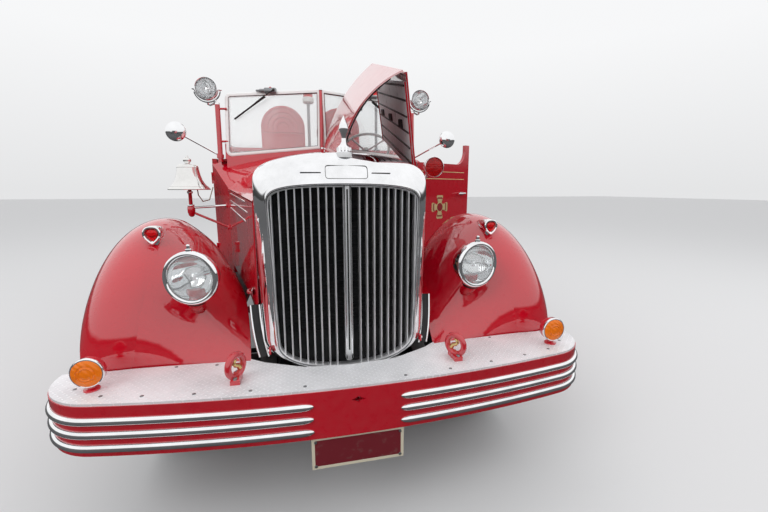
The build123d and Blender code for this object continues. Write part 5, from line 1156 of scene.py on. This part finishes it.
def dashboard():
    """Panel under the cowl with five dials, four knobs and the lid of a box."""
    piece = Piece("dashboard", RED_INNER, CHROME, BLACK, WHITE)
    rings = []
    for x in (-0.8, -0.795, 0.795, 0.8):
        pad = 0.004 if abs(x) > 0.797 else 0
        rings.append([spot(x, 1.93 + pad, 1.6 + pad), spot(x, 1.945 - pad, 1.6 + pad), spot(x, 1.925 - pad, 1.735),
            spot(x, 1.905, 1.76 - pad), spot(x, 1.88 + pad, 1.765 - pad), spot(x, 1.88 + pad, 1.75),
            spot(x, 1.902, 1.742), spot(x, 1.912, 1.73)])
    piece.rings(rings)
    out = Vector((0, 0.99, 0.13))
    for x, z, radius in ((0.45, 1.672, 0.05), (0.33, 1.672, 0.036), (0.57, 1.672, 0.036), (0.235, 1.672, 0.03),
            (0.665, 1.672, 0.03)):
        dial(piece, spot(x, 1.9365, z), out, (0, -0.13, 0.99), radius, face=3, rim=1, mark=2)
    for x in (-0.1, -0.03, 0.04, 0.11):
        piece.lathe(spot(x, 1.9365, 1.655), out, mm((-4, 8), (6, 8), (10, 5), (20, 5), (24, 10), (30, 9), (32, 0)),
            steps=14, look=1)
    piece.tube(route((-620, 1940, 1620), (-620, 1936, 1720), (-300, 1936, 1720), (-300, 1940, 1620)), 0.0025,
        sides=6, look=1, loop=True)
    piece.lathe(spot(-0.46, 1.938, 1.7), out, mm((-4, 10), (10, 10), (13, 6), (13, 0)), steps=14, look=1)
    return piece.build(slot="red_paint")


dashboard()


def pedals():
    piece = Piece("pedals_and_levers", IRON, SEAL, CHROME)
    for x, width in ((0.585, 0.075), (0.33, 0.075)):
        piece.tube(route((0, 1760, 1260), (0, 1850, 1200), (0, 1930, 1130), near=(x, 0, 0)), 0.008, sides=8)
        turn = Matrix.Rotation(radians(-38), 3, "X")
        piece.box(spot(x, 1.945, 1.135), (width, 0.014, 0.085), turn, look=1, edge=0.004)
        for i in range(4):
            piece.box(spot(x, 1.9525, 1.135) + turn @ Vector((0, 0, -0.03 + 0.02 * i)), (width * 0.85, 0.006, 0.006),
                turn, look=1, edge=0.002)
    turn = Matrix.Rotation(radians(-55), 3, "X")
    piece.box(spot(0.69, 1.96, 1.075), (0.055, 0.012, 0.15), turn, look=1, edge=0.004)
    piece.tube(route((160, 2080, 1003), (160, 2100, 1150), (175, 2160, 1400), (185, 2190, 1500)),
        [0.013, 0.011, 0.009, 0.008])
    piece.lathe(spot(0.186, 2.192, 1.505), (0.04, 0.25, 1),
        mm((-12, 0), (-10, 13), (0, 20), (14, 22), (28, 15), (33, 0)), steps=18, look=1)
    piece.lathe(spot(0.16, 2.08, 1), UP, mm((0, 60), (12, 56), (30, 30), (60, 18), (62, 0)), steps=24, look=1)
    piece.tube(route((-10, 2060, 1003), (-10, 2090, 1200), (-10, 2130, 1420)), [0.012, 0.01, 0.01])
    piece.tube(route((-10, 2130, 1420), (-10, 2145, 1500)), 0.014, sides=12, look=1)
    piece.box(spot(-0.01, 2.06, 1.012), (0.06, 0.12, 0.024), edge=0.004)
    return piece.build(slot="iron")


pedals()


def column_parts():
    piece = Piece("column_parts", BLACK, CHROME, IRON)
    for down, radius in ((0.06, 0.03), (0.3, 0.03)):
        piece.lathe(WHEEL_CENTRE - WHEEL_AXIS * down, WHEEL_AXIS,
            [(-0.02, 0.0245), (-0.02, radius), (0.02, radius), (0.02, 0.0245)], steps=24, look=1)
    hub = WHEEL_CENTRE - WHEEL_AXIS * 0.085
    piece.tube([hub + Vector((-0.024, 0, 0)), hub + Vector((-0.1, -0.02, 0.02)),
        hub + Vector((-0.165, -0.03, 0.035))], [0.005, 0.0045, 0.007], sides=8, look=1)
    piece.box(WHEEL_CENTRE - WHEEL_AXIS * 0.32 + Vector((0, -0.01, -0.03)), (0.09, 0.05, 0.04), edge=0.005)
    return piece.build(slot="black_paint")


column_parts()

DOOR_AXIS = spot(0.884, 1.956, 0)
DOORS = {"bodies": ("driver_door", "passenger_door"), "move": turn_about(DOOR_AXIS, DOOR_AXIS + UP, -63)}


def cross_badge(piece, centre, size):
    """Four flared arms about a disc, as fire services use, with nothing written on them."""
    layers = ((0, 0.001, 1, 0), (0.0008, 0.0016, 0.82, 1), (0.0014, 0.0022, 0.7, 0))
    for low, high, grow, look in layers:
        outline = []
        for arm in range(4):
            base = pi / 2 * arm
            for da, r in ((-0.6, 0.36), (-0.5, 0.62), (-0.42, 0.96), (-0.3, 1.02), (0, 0.97), (0.3, 1.02),
                    (0.42, 0.96), (0.5, 0.62), (0.6, 0.36)):
                outline.append((base + da, r * size * grow))
        rings = []
        for out in (low, high):
            rings.append([Vector(centre) + Vector((out, r * sin(a), r * cos(a))) for a, r in outline])
        piece.rings(rings, look)
    piece.lathe(centre, OUTWARD, [(0, size * 0.4), (0.003, size * 0.4), (0.0032, size * 0.34)], steps=28)
    piece.lathe(centre, OUTWARD, [(0.0024, size * 0.345), (0.0026, 0)], steps=28, look=1)


def door_outside(piece):
    x = 0.8802
    cross_badge(piece, spot(x, 2.268, 1.35), 0.118)
    for z in (1.69, 1.622):
        piece.tube(route((0, 1975, 0), (0, 2300, 0), (0, 2630, 0), near=(x, 0, z)), 0.0034, sides=6, side=UP,
            flat=0.5)


def door_fittings(piece):
    x = 0.88
    piece.box(spot(x + 0.003, 2.6, 1.48), (0.006, 0.06, 0.03), edge=0.002)
    piece.tube(route((4, 2615, 1480), (40, 2612, 1480), (46, 2590, 1480), (44, 2500, 1478), near=(x, 0, 0)),
        [0.008, 0.0085, 0.0085, 0.0065], sides=12)
    inner = 0.844
    piece.box(spot(inner - 0.003, 2.34, 1.42), (0.006, 0.62, 0.5), look=1, edge=0.003)
    piece.tube(route((-6, 2570, 1560), (-30, 2570, 1560), (-34, 2500, 1555), near=(inner, 0, 0)),
        [0.008, 0.008, 0.006])
    for t in (2.06, 2.62):
        for z in (1.2, 1.42, 1.64):
            piece.lathe(spot(inner - 0.006, t, z), (-1, 0, 0), mm((-1, 6), (2, 5), (3, 0)), steps=10)


both(door_outside, "door_badge", GOLD, RED_INNER, **DOORS, slot="red_paint")
both(door_fittings, "door_fittings", CHROME, RED_INNER, **DOORS, slot="chrome")


# Hose reels

REELS = (("right", -0.33), ("left", 0.29))
REEL_T, REEL_Z = 3.3, 2.196


def reel_faces(side, x):
    """Beads on both cheeks, hub, bolts and the wound hose, which turn with the reel."""
    piece = Piece(f"reel_trim_{side}", RED, STEEL, HOSE)
    for way in (-1, 1):
        t = REEL_T + way * 0.15
        for radius, bead in ((0.2265, 0.006), (0.185, 0.0055), (0.14, 0.005), (0.09, 0.005)):
            piece.tube(circle(spot(x, t, REEL_Z), OUTWARD, UP, radius, 56), bead, sides=8, loop=True)
        piece.lathe(spot(x, t, REEL_Z), (0, way, 0), mm((-2, 52), (10, 52), (14, 46), (14, 20)), steps=28, look=1)
        for a in turns(6, 0.26):
            piece.lathe(spot(x + 0.036 * cos(a), t + way * 0.013, REEL_Z + 0.036 * sin(a)), (0, way, 0),
                mm((0, 6), (5, 6), (6, 0)), steps=6, look=1)
    for row in range(10):
        t = REEL_T - 0.108 + 0.024 * row
        piece.tube(circle(spot(x, t, REEL_Z), OUTWARD, UP, 0.197 + 0.001 * (row % 3), 56), 0.0125, look=2, loop=True)
    return piece.build(body=f"{side}_hose_reel", slot="red_paint")


def reel_guard(side, x):
    """Arched shield in front of a reel, with rings pressed into it."""
    piece = Piece(f"reel_guard_{side}", RED)
    t, half = 3.098, 0.236
    outline = [(half, 1.951), (half, 2.1)]
    outline += [(half * cos(radians(a)), REEL_Z + half * sin(radians(a))) for a in range(0, 181, 8)]
    outline += [(-half, 2.1), (-half, 1.951)]
    piece.rings([[spot(x + u * k, t + d, z if k == 1 else 2.1 + (z - 2.1) * k) for u, z in outline]
        for d, k in ((-0.003, 0.985), (-0.005, 0.97), (-0.005, 0.9), (0.001, 1), (0.004, 1), (0.004, 0.9))])
    for radius in (0.215, 0.165, 0.115, 0.065):
        piece.tube(arc(spot(x, t - 0.006, REEL_Z), OUTWARD, UP, radius, -12, 192, 36), 0.0055, sides=8, side=BACKWARD)
    piece.tube([spot(x - half, t - 0.006, 2.15), spot(x + half, t - 0.006, 2.15)], 0.006, sides=8)
    return piece.build(slot="red_paint")


for make_reel_part in (reel_guard, reel_faces):
    for reel in REELS:
        make_reel_part(*reel)


# Hose body, tail and running boards

def tail_lamp(piece):
    big, small = spot(0.47, 7.8205, 1.18), spot(0.47, 7.8205, 1.02)
    piece.lathe(big, BACKWARD, mm((0, 0), (0, 62), (16, 62), (24, 56), (24, 50)))
    piece.lathe(big, BACKWARD, mm((18, 51), (30, 46), (38, 30), (41, 0)), look=1)
    piece.lathe(small, BACKWARD, mm((0, 0), (0, 36), (10, 36), (16, 32), (16, 28)), steps=24)
    piece.lathe(small, BACKWARD, mm((12, 29), (22, 24), (26, 0)), steps=24, look=1)


both(tail_lamp, "tail_lamp", CHROME, RUBY, slot="chrome")


def bed_trim(piece):
    """Rolled rim, side mouldings and the strap rivets of the hose body."""
    x, t0, t1 = 0.6, 3.842, 7.818
    piece.tube([spot(x - 0.015, t0, 1.764), spot(x - 0.015, t1, 1.764)], 0.019, sides=14, side=OUTWARD)
    for z in (1.225, 1.1):
        piece.tube([spot(x + 0.002, t0 + 0.04, z), spot(x + 0.002, t1 - 0.04, z)], 0.009, sides=8, side=UP, flat=0.6)
    for i in range(9):
        t = t0 + 0.1 + (t1 - t0 - 0.2) * i / 8
        piece.box(spot(x + 0.004, t, 1.45), (0.01, 0.04, 0.52), edge=0.003)


both(bed_trim, "bed_trim", RED, slot="red_paint")


def bed_slats():
    piece = Piece("bed_slats", WOOD)
    for i in range(11):
        x = -0.5 + 0.1 * i
        piece.box(spot(x, 5.83, 0.9425), (0.078, 3.88, 0.022), edge=0.003)
    return piece.build(slot="wood")


bed_slats()


def board_trim(piece):
    """Ribbed rubber mat with a bright edge on the running board."""
    x0, x1, t0, t1, z = 0.705, 1.148, 1.705, 5.055, 0.5302
    piece.box(spot((x0 + x1) / 2, (t0 + t1) / 2, z + 0.002), (x1 - x0, t1 - t0, 0.004), look=1, edge=0.001)
    for i in range(16):
        x = x0 + 0.022 + (x1 - x0 - 0.044) * i / 15
        piece.tube([spot(x, t0 + 0.015, z + 0.004), spot(x, t1 - 0.015, z + 0.004)], 0.0045, sides=6, look=1,
            side=OUTWARD, flat=0.7)
    piece.box(spot(1.1505, (t0 + t1) / 2, 0.5155), (0.006, t1 - t0 + 0.01, 0.034), edge=0.002)


both(board_trim, "running_board_mat", CHROME, SEAL, slot="black_paint")


def tail_step():
    piece = Piece("tail_step_edge", CHROME, STEEL)
    piece.tube(route((-1100, 7998.5, 535), (0, 7998.5, 535), (1100, 7998.5, 535)), 0.016, side=UP, flat=0.2)
    for x in (-1, -0.5, 0, 0.5, 1):
        for t in (7.6, 7.95):
            piece.lathe(spot(x, t, 0.5502), UP, mm((0, 8), (3, 7), (4, 0)), steps=10, look=1)
    return piece.build(slot="chrome")


tail_step()


def locker_trim(piece):
    x = 1.1625
    piece.tube(route((0, 3955, 600), (0, 3955, 1100), (0, 4985, 1100), (0, 4985, 600), near=(x, 0, 0)), 0.0055,
        sides=8, loop=True, side=OUTWARD, look=1)
    piece.lathe(spot(x, 4.47, 1.045), OUTWARD, mm((-1, 30), (4, 30), (6, 22), (18, 14), (20, 0)), steps=24)
    piece.tube(route((18, 4430, 1045), (22, 4470, 1045), (18, 4510, 1045), near=(x, 0, 0)), [0.005, 0.008, 0.005])


both(locker_trim, "locker_door_trim", CHROME, RED, bodies=sided("locker_door"), slot="chrome")


# Pump side

def pump_side(piece):
    x = 0.9303
    piece.box(spot(x + 0.0008, 3.44, 1.42), (0.003, 0.7, 0.96), edge=0.001)
    face = OUTWARD
    for t, z, radius, length in ((3.2, 1.56, 0.056, 0.016), (3.34, 1.56, 0.056, 0.016), (3.52, 1.6, 0.078, 0.018),
            (3.69, 1.56, 0.056, 0.016)):
        dial(piece, spot(x + length, t, z), face, UP, radius, ticks=11, face=3, rim=1, mark=4)
    for t, z, radius, length in ((3.44, 1.02, 0.088, 0.11), (3.2, 1.24, 0.048, 0.12), (3.66, 1.24, 0.048, 0.12)):
        end = spot(x + length, t, z)
        piece.lathe(end, face, [(-0.036, radius * 1.01), (-0.036, radius * 1.07), (0.002, radius * 1.07),
            (0.006, radius), (0.008, radius * 0.45), (0.014, radius * 0.4), (0.016, 0)], steps=36, look=1)
        for a in turns(3 if radius > 0.06 else 2, 0.5):
            out = Vector((0, cos(a), sin(a)))
            piece.tube([end + Vector((-0.018, 0, 0)) + out * radius,
                end + Vector((-0.018, 0, 0)) + out * (radius + 0.03)], [0.009, 0.007], look=1)
        piece.tube([end + Vector((0.01, 0, 0)), end + Vector((0.012, 0.03, -radius - 0.03)),
            end + Vector((-0.06, 0.05, -radius - 0.05)), spot(x, t + 0.06, z - radius - 0.02)], 0.003, sides=6,
            look=1)
    wheel = spot(x + 0.06, 3.44, 1.4)
    piece.tube(circle(wheel, BACKWARD, UP, 0.062, 36), 0.0075, look=2, loop=True)
    for a in turns(5):
        piece.tube([wheel, wheel + Vector((0, cos(a), sin(a))) * 0.062], 0.005, sides=8, look=2)
    for index in range(4):
        t = 3.18 + 0.17 * index
        piece.box(spot(x + 0.0025, t, 1.69), (0.002, 0.09, 0.03), look=4, edge=0.0008)
        piece.lathe(spot(x, t, 1.76), face, mm((0, 18), (6, 18), (9, 10), (9, 0)), steps=18, look=1)
    for t in (3.115, 3.44, 3.765):
        for z in (0.965, 1.875):
            piece.lathe(spot(x + 0.002, t, z), face, mm((0, 9), (3, 8), (4, 0)), steps=12, look=1)


both(pump_side, "pump_panel", PANEL, CHROME, RED, WHITE, BLACK, slot="panel")


# Engine details under the raised hood

def engine_parts():
    """Ribs, head nuts, plugs with leads, air cleaner, filter, generator, belt, pulleys and water hoses."""
    piece = Piece("engine_parts", CAST, BLACK, STEEL, BRASS, SEAL)
    for i in range(9):
        t = 0.78 + 0.085 * i
        piece.box(spot(0.1705, t, 0.98), (0.01, 0.016, 0.34), edge=0.003)
    for i in range(14):
        t = 0.765 + 0.0535 * i
        for x in (-0.132, 0.132):
            nut(piece, spot(x, t, 1.33), UP, 0.0095, 0.012, look=2)
    piece.box(spot(0, 1.11, 1.405), (0.15, 0.66, 0.02), look=1, edge=0.008)
    for t in (0.9, 1.11, 1.32):
        piece.lathe(spot(0, t, 1.415), UP, mm((0, 12), (6, 12), (8, 8), (18, 7), (20, 0)), steps=12, look=2)
    for i in range(6):
        t = 0.8 + 0.115 * i
        piece.lathe(spot(0.148, t, 1.29), (0.8, 0, 0.6), mm((0, 12), (12, 11), (14, 7), (40, 6), (48, 4), (48, 0)),
            steps=10, look=2)
        piece.tube([spot(0.182, t, 1.316), spot(0.205, t + 0.01, 1.345), spot(0.19, 1.08 + 0.02 * i, 1.375),
            spot(0.13, 1.12, 1.37)], 0.004, sides=6, look=4)
    piece.lathe(spot(0.085, 1.13, 1.402), UP, mm((-20, 38), (10, 42), (40, 45), (60, 40), (66, 0)), steps=24, look=1)
    piece.lathe(spot(0.262, 1.02, 1.262), UP, mm((-30, 30), (-10, 45), (30, 48), (34, 95), (40, 105), (105, 105),
        (115, 95), (120, 0)), look=1)
    piece.lathe(spot(0.235, 0.86, 1.02), UP, mm((-110, 0), (-110, 45), (-95, 52), (80, 52), (95, 45), (100, 18),
        (115, 16), (118, 0)), steps=28, look=3)
    piece.box(spot(0.2, 0.86, 1.02), (0.06, 0.05, 0.06), look=2)
    piece.lathe(spot(0.245, 1.28, 0.98), BACKWARD, mm((-110, 0), (-110, 55), (-90, 60), (90, 60), (110, 52),
        (110, 20), (160, 18), (160, 0)), steps=28, look=1)
    piece.box(spot(0.2, 1.28, 0.98), (0.08, 0.1, 0.05), look=2)
    belt = []
    for centre, r, start, end in ((spot(0, 0.668, 1.15), 0.06, -20, 200), (spot(0, 0.668, 0.84), 0.08, 180, 360)):
        belt += arc(centre, OUTWARD, UP, r, start, end, 14)
    piece.tube(belt, 0.007, sides=6, look=4, loop=True)
    piece.lathe(spot(0, 0.668, 1.15), BACKWARD, mm((-14, 0), (-14, 66), (0, 54), (14, 66), (14, 0)), steps=28, look=2)
    piece.lathe(spot(0, 0.668, 0.84), BACKWARD, mm((-14, 0), (-14, 86), (0, 74), (14, 86), (14, 0)), steps=28, look=2)
    piece.tube(route((0, 680, 840), (0, 725, 840)), 0.03, sides=14, look=2)
    piece.tube(route((50, 425, 1440), (60, 500, 1455), (60, 620, 1452), (50, 700, 1425), (40, 760, 1385)), 0.028,
        sides=16, look=4)
    for t, z in ((0.45, 1.449), (0.745, 1.393)):
        piece.lathe(spot(0.055, t, z), (0, 1, 0.1), mm((-6, 29), (-6, 31), (6, 31), (6, 29)), steps=20, look=2)
    piece.tube(route((-120, 430, 830), (-120, 520, 840), (-100, 660, 900), (-80, 735, 950)), 0.026, sides=16, look=4)
    return piece.build(slot="iron")


engine_parts()


def radiator_fins():
    piece = Piece("radiator_fins", BLACK_CORE_AND_SHADE)
    # Partly painted shade: a near-black skirt from the shell's opening back to the core, with near-black fins and
    # tanks, gives the dark space behind the grille.
    mouth = by_angle(OPENING_EDGE, 120)
    block = by_angle([(0.285, 0.82 + 0.64 * k / 40) for k in range(41)]
        + [(0.285 - 0.57 * k / 40, 1.46) for k in range(1, 40)] + [(-0.285, 1.46 - 0.64 * k / 40) for k in range(41)]
        + [(-0.285 + 0.57 * k / 40, 0.82) for k in range(1, 40)], 120)
    piece.rings([[spot(x, 0.314 + shell_bow(x), z) for x, z in mouth], [spot(x, 0.358, z) for x, z in block],
        [spot(x, 0.361, z) for x, z in block], [spot(x * 1.004, 0.317 + shell_bow(x), z * 1.001) for x, z in mouth]],
        loop=True)
    for i in range(30):
        z = 0.835 + 0.0205 * i
        piece.box(spot(0, 0.4, z), (0.6, 0.086, 0.0035), edge=0.001)
    piece.box(spot(0, 0.4, 1.455), (0.622, 0.082, 0.055), edge=0.01)
    piece.box(spot(0, 0.4, 0.822), (0.622, 0.082, 0.04), edge=0.008)
    return piece.build(slot="black_paint")


radiator_fins()


# Small fittings

def tow_hook(piece):
    """Cast eye turned a little outward on its foot, with the hook inside it and its bolts."""
    x, t, z = 0.508, 0.165, 0.7106
    across = Vector((cos(radians(58)), -sin(radians(58)), 0))
    middle = spot(x, t, z + 0.068)
    piece.tube(circle(middle, across, UP, 0.047, 36), 0.0145, sides=14, loop=True)
    foot = [(-0.02, -0.045), (0.02, -0.045), (0.02, 0.045), (-0.02, 0.045)]
    piece.rings([[spot(x + u * k, t + v * k, z + h) for u, v in foot]
        for h, k in ((0, 1), (0.018, 1), (0.027, 0.72))])
    piece.tube([middle + across * u + UP * v for u, v in ((-0.024, -0.02), (-0.014, -0.004), (0.002, 0.002),
        (0.012, 0.012), (0.006, 0.024), (-0.006, 0.026))], [0.011, 0.0105, 0.01, 0.009, 0.0075, 0.0045], sides=12,
        look=2)
    for shift in (-0.034, 0.034):
        piece.lathe(spot(x, t + shift, z + 0.02), UP, mm((0, 10), (7, 10), (9, 8), (9, 0)), steps=6, look=1)


hooks = both(tow_hook, "tow_eye", RED, STEEL, BRASS, slot="red_paint")
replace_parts(hooks[0], "tow_hooks")


PAD_SWELL = 0.026
PAD_FRAMES = 20
PLEATS = [-0.6 + 0.15 * k for k in range(9)]


def bolster(name, low, high, inset, seams):
    """Padded bench part: a block blown up by cloth pressure, with piping and sewn channels laid on afterwards."""
    low, high = Vector(low), Vector(high)
    a, b = low + Vector(inset), high - Vector(inset)
    mesh = bpy.data.meshes.new(name)
    corners = [(x, y, z) for x in (a.x, b.x) for y in (a.y, b.y) for z in (a.z, b.z)]
    mesh.from_pydata(corners, [], [(0, 1, 3, 2), (4, 6, 7, 5), (0, 4, 5, 1), (2, 3, 7, 6), (0, 2, 6, 4),
        (1, 5, 7, 3)])
    mesh.materials.append(LEATHER)
    obj = bpy.data.objects.new(name, mesh)
    bpy.context.scene.collection.objects.link(obj)
    bpy.context.view_layer.objects.active = obj
    obj.select_set(True)
    voxels = obj.modifiers.new("voxels", "REMESH")
    voxels.mode, voxels.voxel_size = "VOXEL", 0.016
    bpy.ops.object.modifier_apply(modifier="voxels")
    start = [v.co.copy() for v in obj.data.vertices]
    cloth = obj.modifiers.new("padding", "CLOTH")
    settings = cloth.settings
    settings.use_pressure = True
    settings.uniform_pressure_force = 4
    settings.effector_weights.gravity = 0
    settings.quality = 5
    cloth.point_cache.frame_start, cloth.point_cache.frame_end = 1, PAD_FRAMES
    for number in range(1, PAD_FRAMES + 1):
        bpy.context.scene.frame_set(number)
    grown = obj.evaluated_get(bpy.context.evaluated_depsgraph_get()).to_mesh()
    moved = [v.co.copy() for v in grown.vertices]
    obj.modifiers.remove(cloth)
    bpy.context.scene.frame_set(1)
    for vertex, first, last in zip(obj.data.vertices, start, moved):
        step = last - first
        if step.length > PAD_SWELL:
            step *= PAD_SWELL / step.length
        vertex.co = Vector([min(max(c, a), b) for c, a, b in zip(first + step, low, high)])
    smooth = obj.modifiers.new("smooth", "SUBSURF")
    smooth.levels = smooth.render_levels = 1
    obj.data.shade_smooth()
    obj.select_set(False)
    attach(obj, BODY)
    trim = Piece(name + "_piping", LEATHER)
    for rail in seams:
        trim.tube(rail, 0.005, sides=8)
    trim.build(slot="leather", body=BODY)
    return obj


def cushions():
    low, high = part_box("seat_cushions")
    x = high[0]
    seat_z, split = low[2] + 0.14, at(2.9)
    seat_depth, rest_height = split - low[1], high[2] - low[2]

    def across(y, z):
        """Piping along an edge of a pad."""
        return [Vector((-x + 0.03 + (2 * x - 0.06) * k / 30, y, z)) for k in range(31)]
    seat_pleats = [[Vector((u, low[1] + 0.03 + (seat_depth - 0.06) * k / 10,
        seat_z - 0.0035 + 0.001 * sin(pi * k / 10))) for k in range(11)] for u in PLEATS]
    rest_pleats = [[Vector((u, split + 0.004, low[2] + 0.18 + (rest_height - 0.22) * k / 10)) for k in range(11)]
        for u in PLEATS]
    seat = bolster("seat_pad", (-x, low[1], low[2]), (x, split, seat_z), (0.018, 0.018, 0.014),
        [across(low[1] + 0.016, seat_z - 0.012)] + seat_pleats)
    rest = bolster("seat_back_pad", (-x, split + 0.0003, low[2]), (x, high[1], high[2]), (0.018, 0.016, 0.018),
        [across(split + 0.014, high[2] - 0.014)] + rest_pleats)
    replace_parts(seat, "seat_cushions")
    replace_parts(rest, "seat_cushions")


cushions()


def plate_bolts(piece):
    for z in (0.352, 0.466):
        piece.lathe(spot(0.186, 0.0098, z), FORWARD, mm((0, 7), (3, 6), (4, 0)), steps=12)


both(plate_bolts, "plate_bolts", STEEL, slot="iron")


def deck_bolts(piece):
    for x, t in ((0.22, 0.045), (0.44, 0.06), (0.66, 0.085), (0.86, 0.115), (1.02, 0.15), (1.15, 0.235), (1.2, 0.34),
            (0.62, 0.34), (0.8, 0.36)):
        piece.lathe(spot(x, t, 0.7103), UP, mm((-1, 8), (1.8, 7), (2.8, 4), (3, 0)), steps=14)


both(deck_bolts, "deck_bolts", STEEL, slot="iron")


# Stage and light

def by_ray(nodes, links, names):
    """1 where the ray is of any of the named kinds."""
    rays = nodes.new("ShaderNodeLightPath")
    value = rays.outputs[names[0]]
    for name in names[1:]:
        both_kinds = nodes.new("ShaderNodeMath")
        both_kinds.operation = "MAXIMUM"
        links.new(value, both_kinds.inputs[0])
        links.new(rays.outputs[name], both_kinds.inputs[1])
        value = both_kinds.outputs[0]
    return value


def stage():
    """Pale floor, plain world and three soft lamps that no bright metal mirrors."""
    tree = Tree("floor_grey")
    grain = tree.noise(20, 3)
    seen = by_ray(tree.nodes, tree.links, ["Is Camera Ray", "Is Transmission Ray"])
    tone = tree.mix(seen, rgb(0.075, 0.075, 0.078), rgb(0.66, 0.66, 0.665))
    tree.set(Base_Color=tone, Roughness=tree.spread(grain, 0.3, 0.7, 0.68, 0.76), Specular_IOR_Level=0.1)
    mesh = bpy.data.meshes.new("floor")
    mesh.from_pydata([(-60, -60, 0), (60, -60, 0), (60, 60, 0), (-60, 60, 0)], [], [(0, 1, 2, 3)])
    mesh.materials.append(tree.material)
    floor = bpy.data.objects.new("floor", mesh)
    bpy.context.scene.collection.objects.link(floor)
    world = bpy.data.worlds.new("studio")
    bpy.context.scene.world = world
    world.use_nodes = True
    nodes, links = world.node_tree.nodes, world.node_tree.links
    back = nodes["Background"]
    place = nodes.new("ShaderNodeTexCoord")
    split = nodes.new("ShaderNodeSeparateXYZ")
    links.new(place.outputs["Generated"], split.inputs[0])

    def ramp(*stops):
        made = nodes.new("ShaderNodeValToRGB")
        links.new(split.outputs[2], made.inputs[0])
        while len(made.color_ramp.elements) < len(stops):
            made.color_ramp.elements.new(0.5)
        for element, (position, level) in zip(made.color_ramp.elements, stops):
            element.position, element.color = position, rgb(level, level * 1.005, level * 1.015)
        return made.outputs[0]
    plain = ramp((0, 0.78), (0.3, 0.93))
    reflected = ramp((0, 0.05), (0.05, 0.1), (0.11, 0.97), (0.4, 1))
    choose = nodes.new("ShaderNodeMix")
    choose.data_type = "RGBA"
    links.new(by_ray(nodes, links, ["Is Glossy Ray"]), choose.inputs[0])
    links.new(plain, choose.inputs[6])
    links.new(reflected, choose.inputs[7])
    links.new(choose.outputs[2], back.inputs[0])
    level = nodes.new("ShaderNodeMapRange")
    links.new(by_ray(nodes, links, ["Is Camera Ray", "Is Glossy Ray", "Is Transmission Ray"]), level.inputs[0])
    level.inputs[3].default_value = 0.96
    level.inputs[4].default_value = 1
    links.new(level.outputs[0], back.inputs[1])
    for name, place, aim, size, power in (("key", (-7, -9, 7), (0, -2, 1), 7, 360),
            ("fill", (8, -6, 6), (0, 0, 1), 6, 160), ("top", (0, 2, 10), (0, 1, 1), 9, 160)):
        data = bpy.data.lights.new(name, "AREA")
        data.size, data.energy = size, power
        lamp_object = bpy.data.objects.new(name, data)
        lamp_object.location = place
        lamp_object.rotation_euler = (Vector(aim) - Vector(place)).to_track_quat("-Z", "Y").to_euler()
        lamp_object.visible_glossy = False
        bpy.context.scene.collection.objects.link(lamp_object)
    bpy.context.scene.view_settings.view_transform = "Standard"


stage()
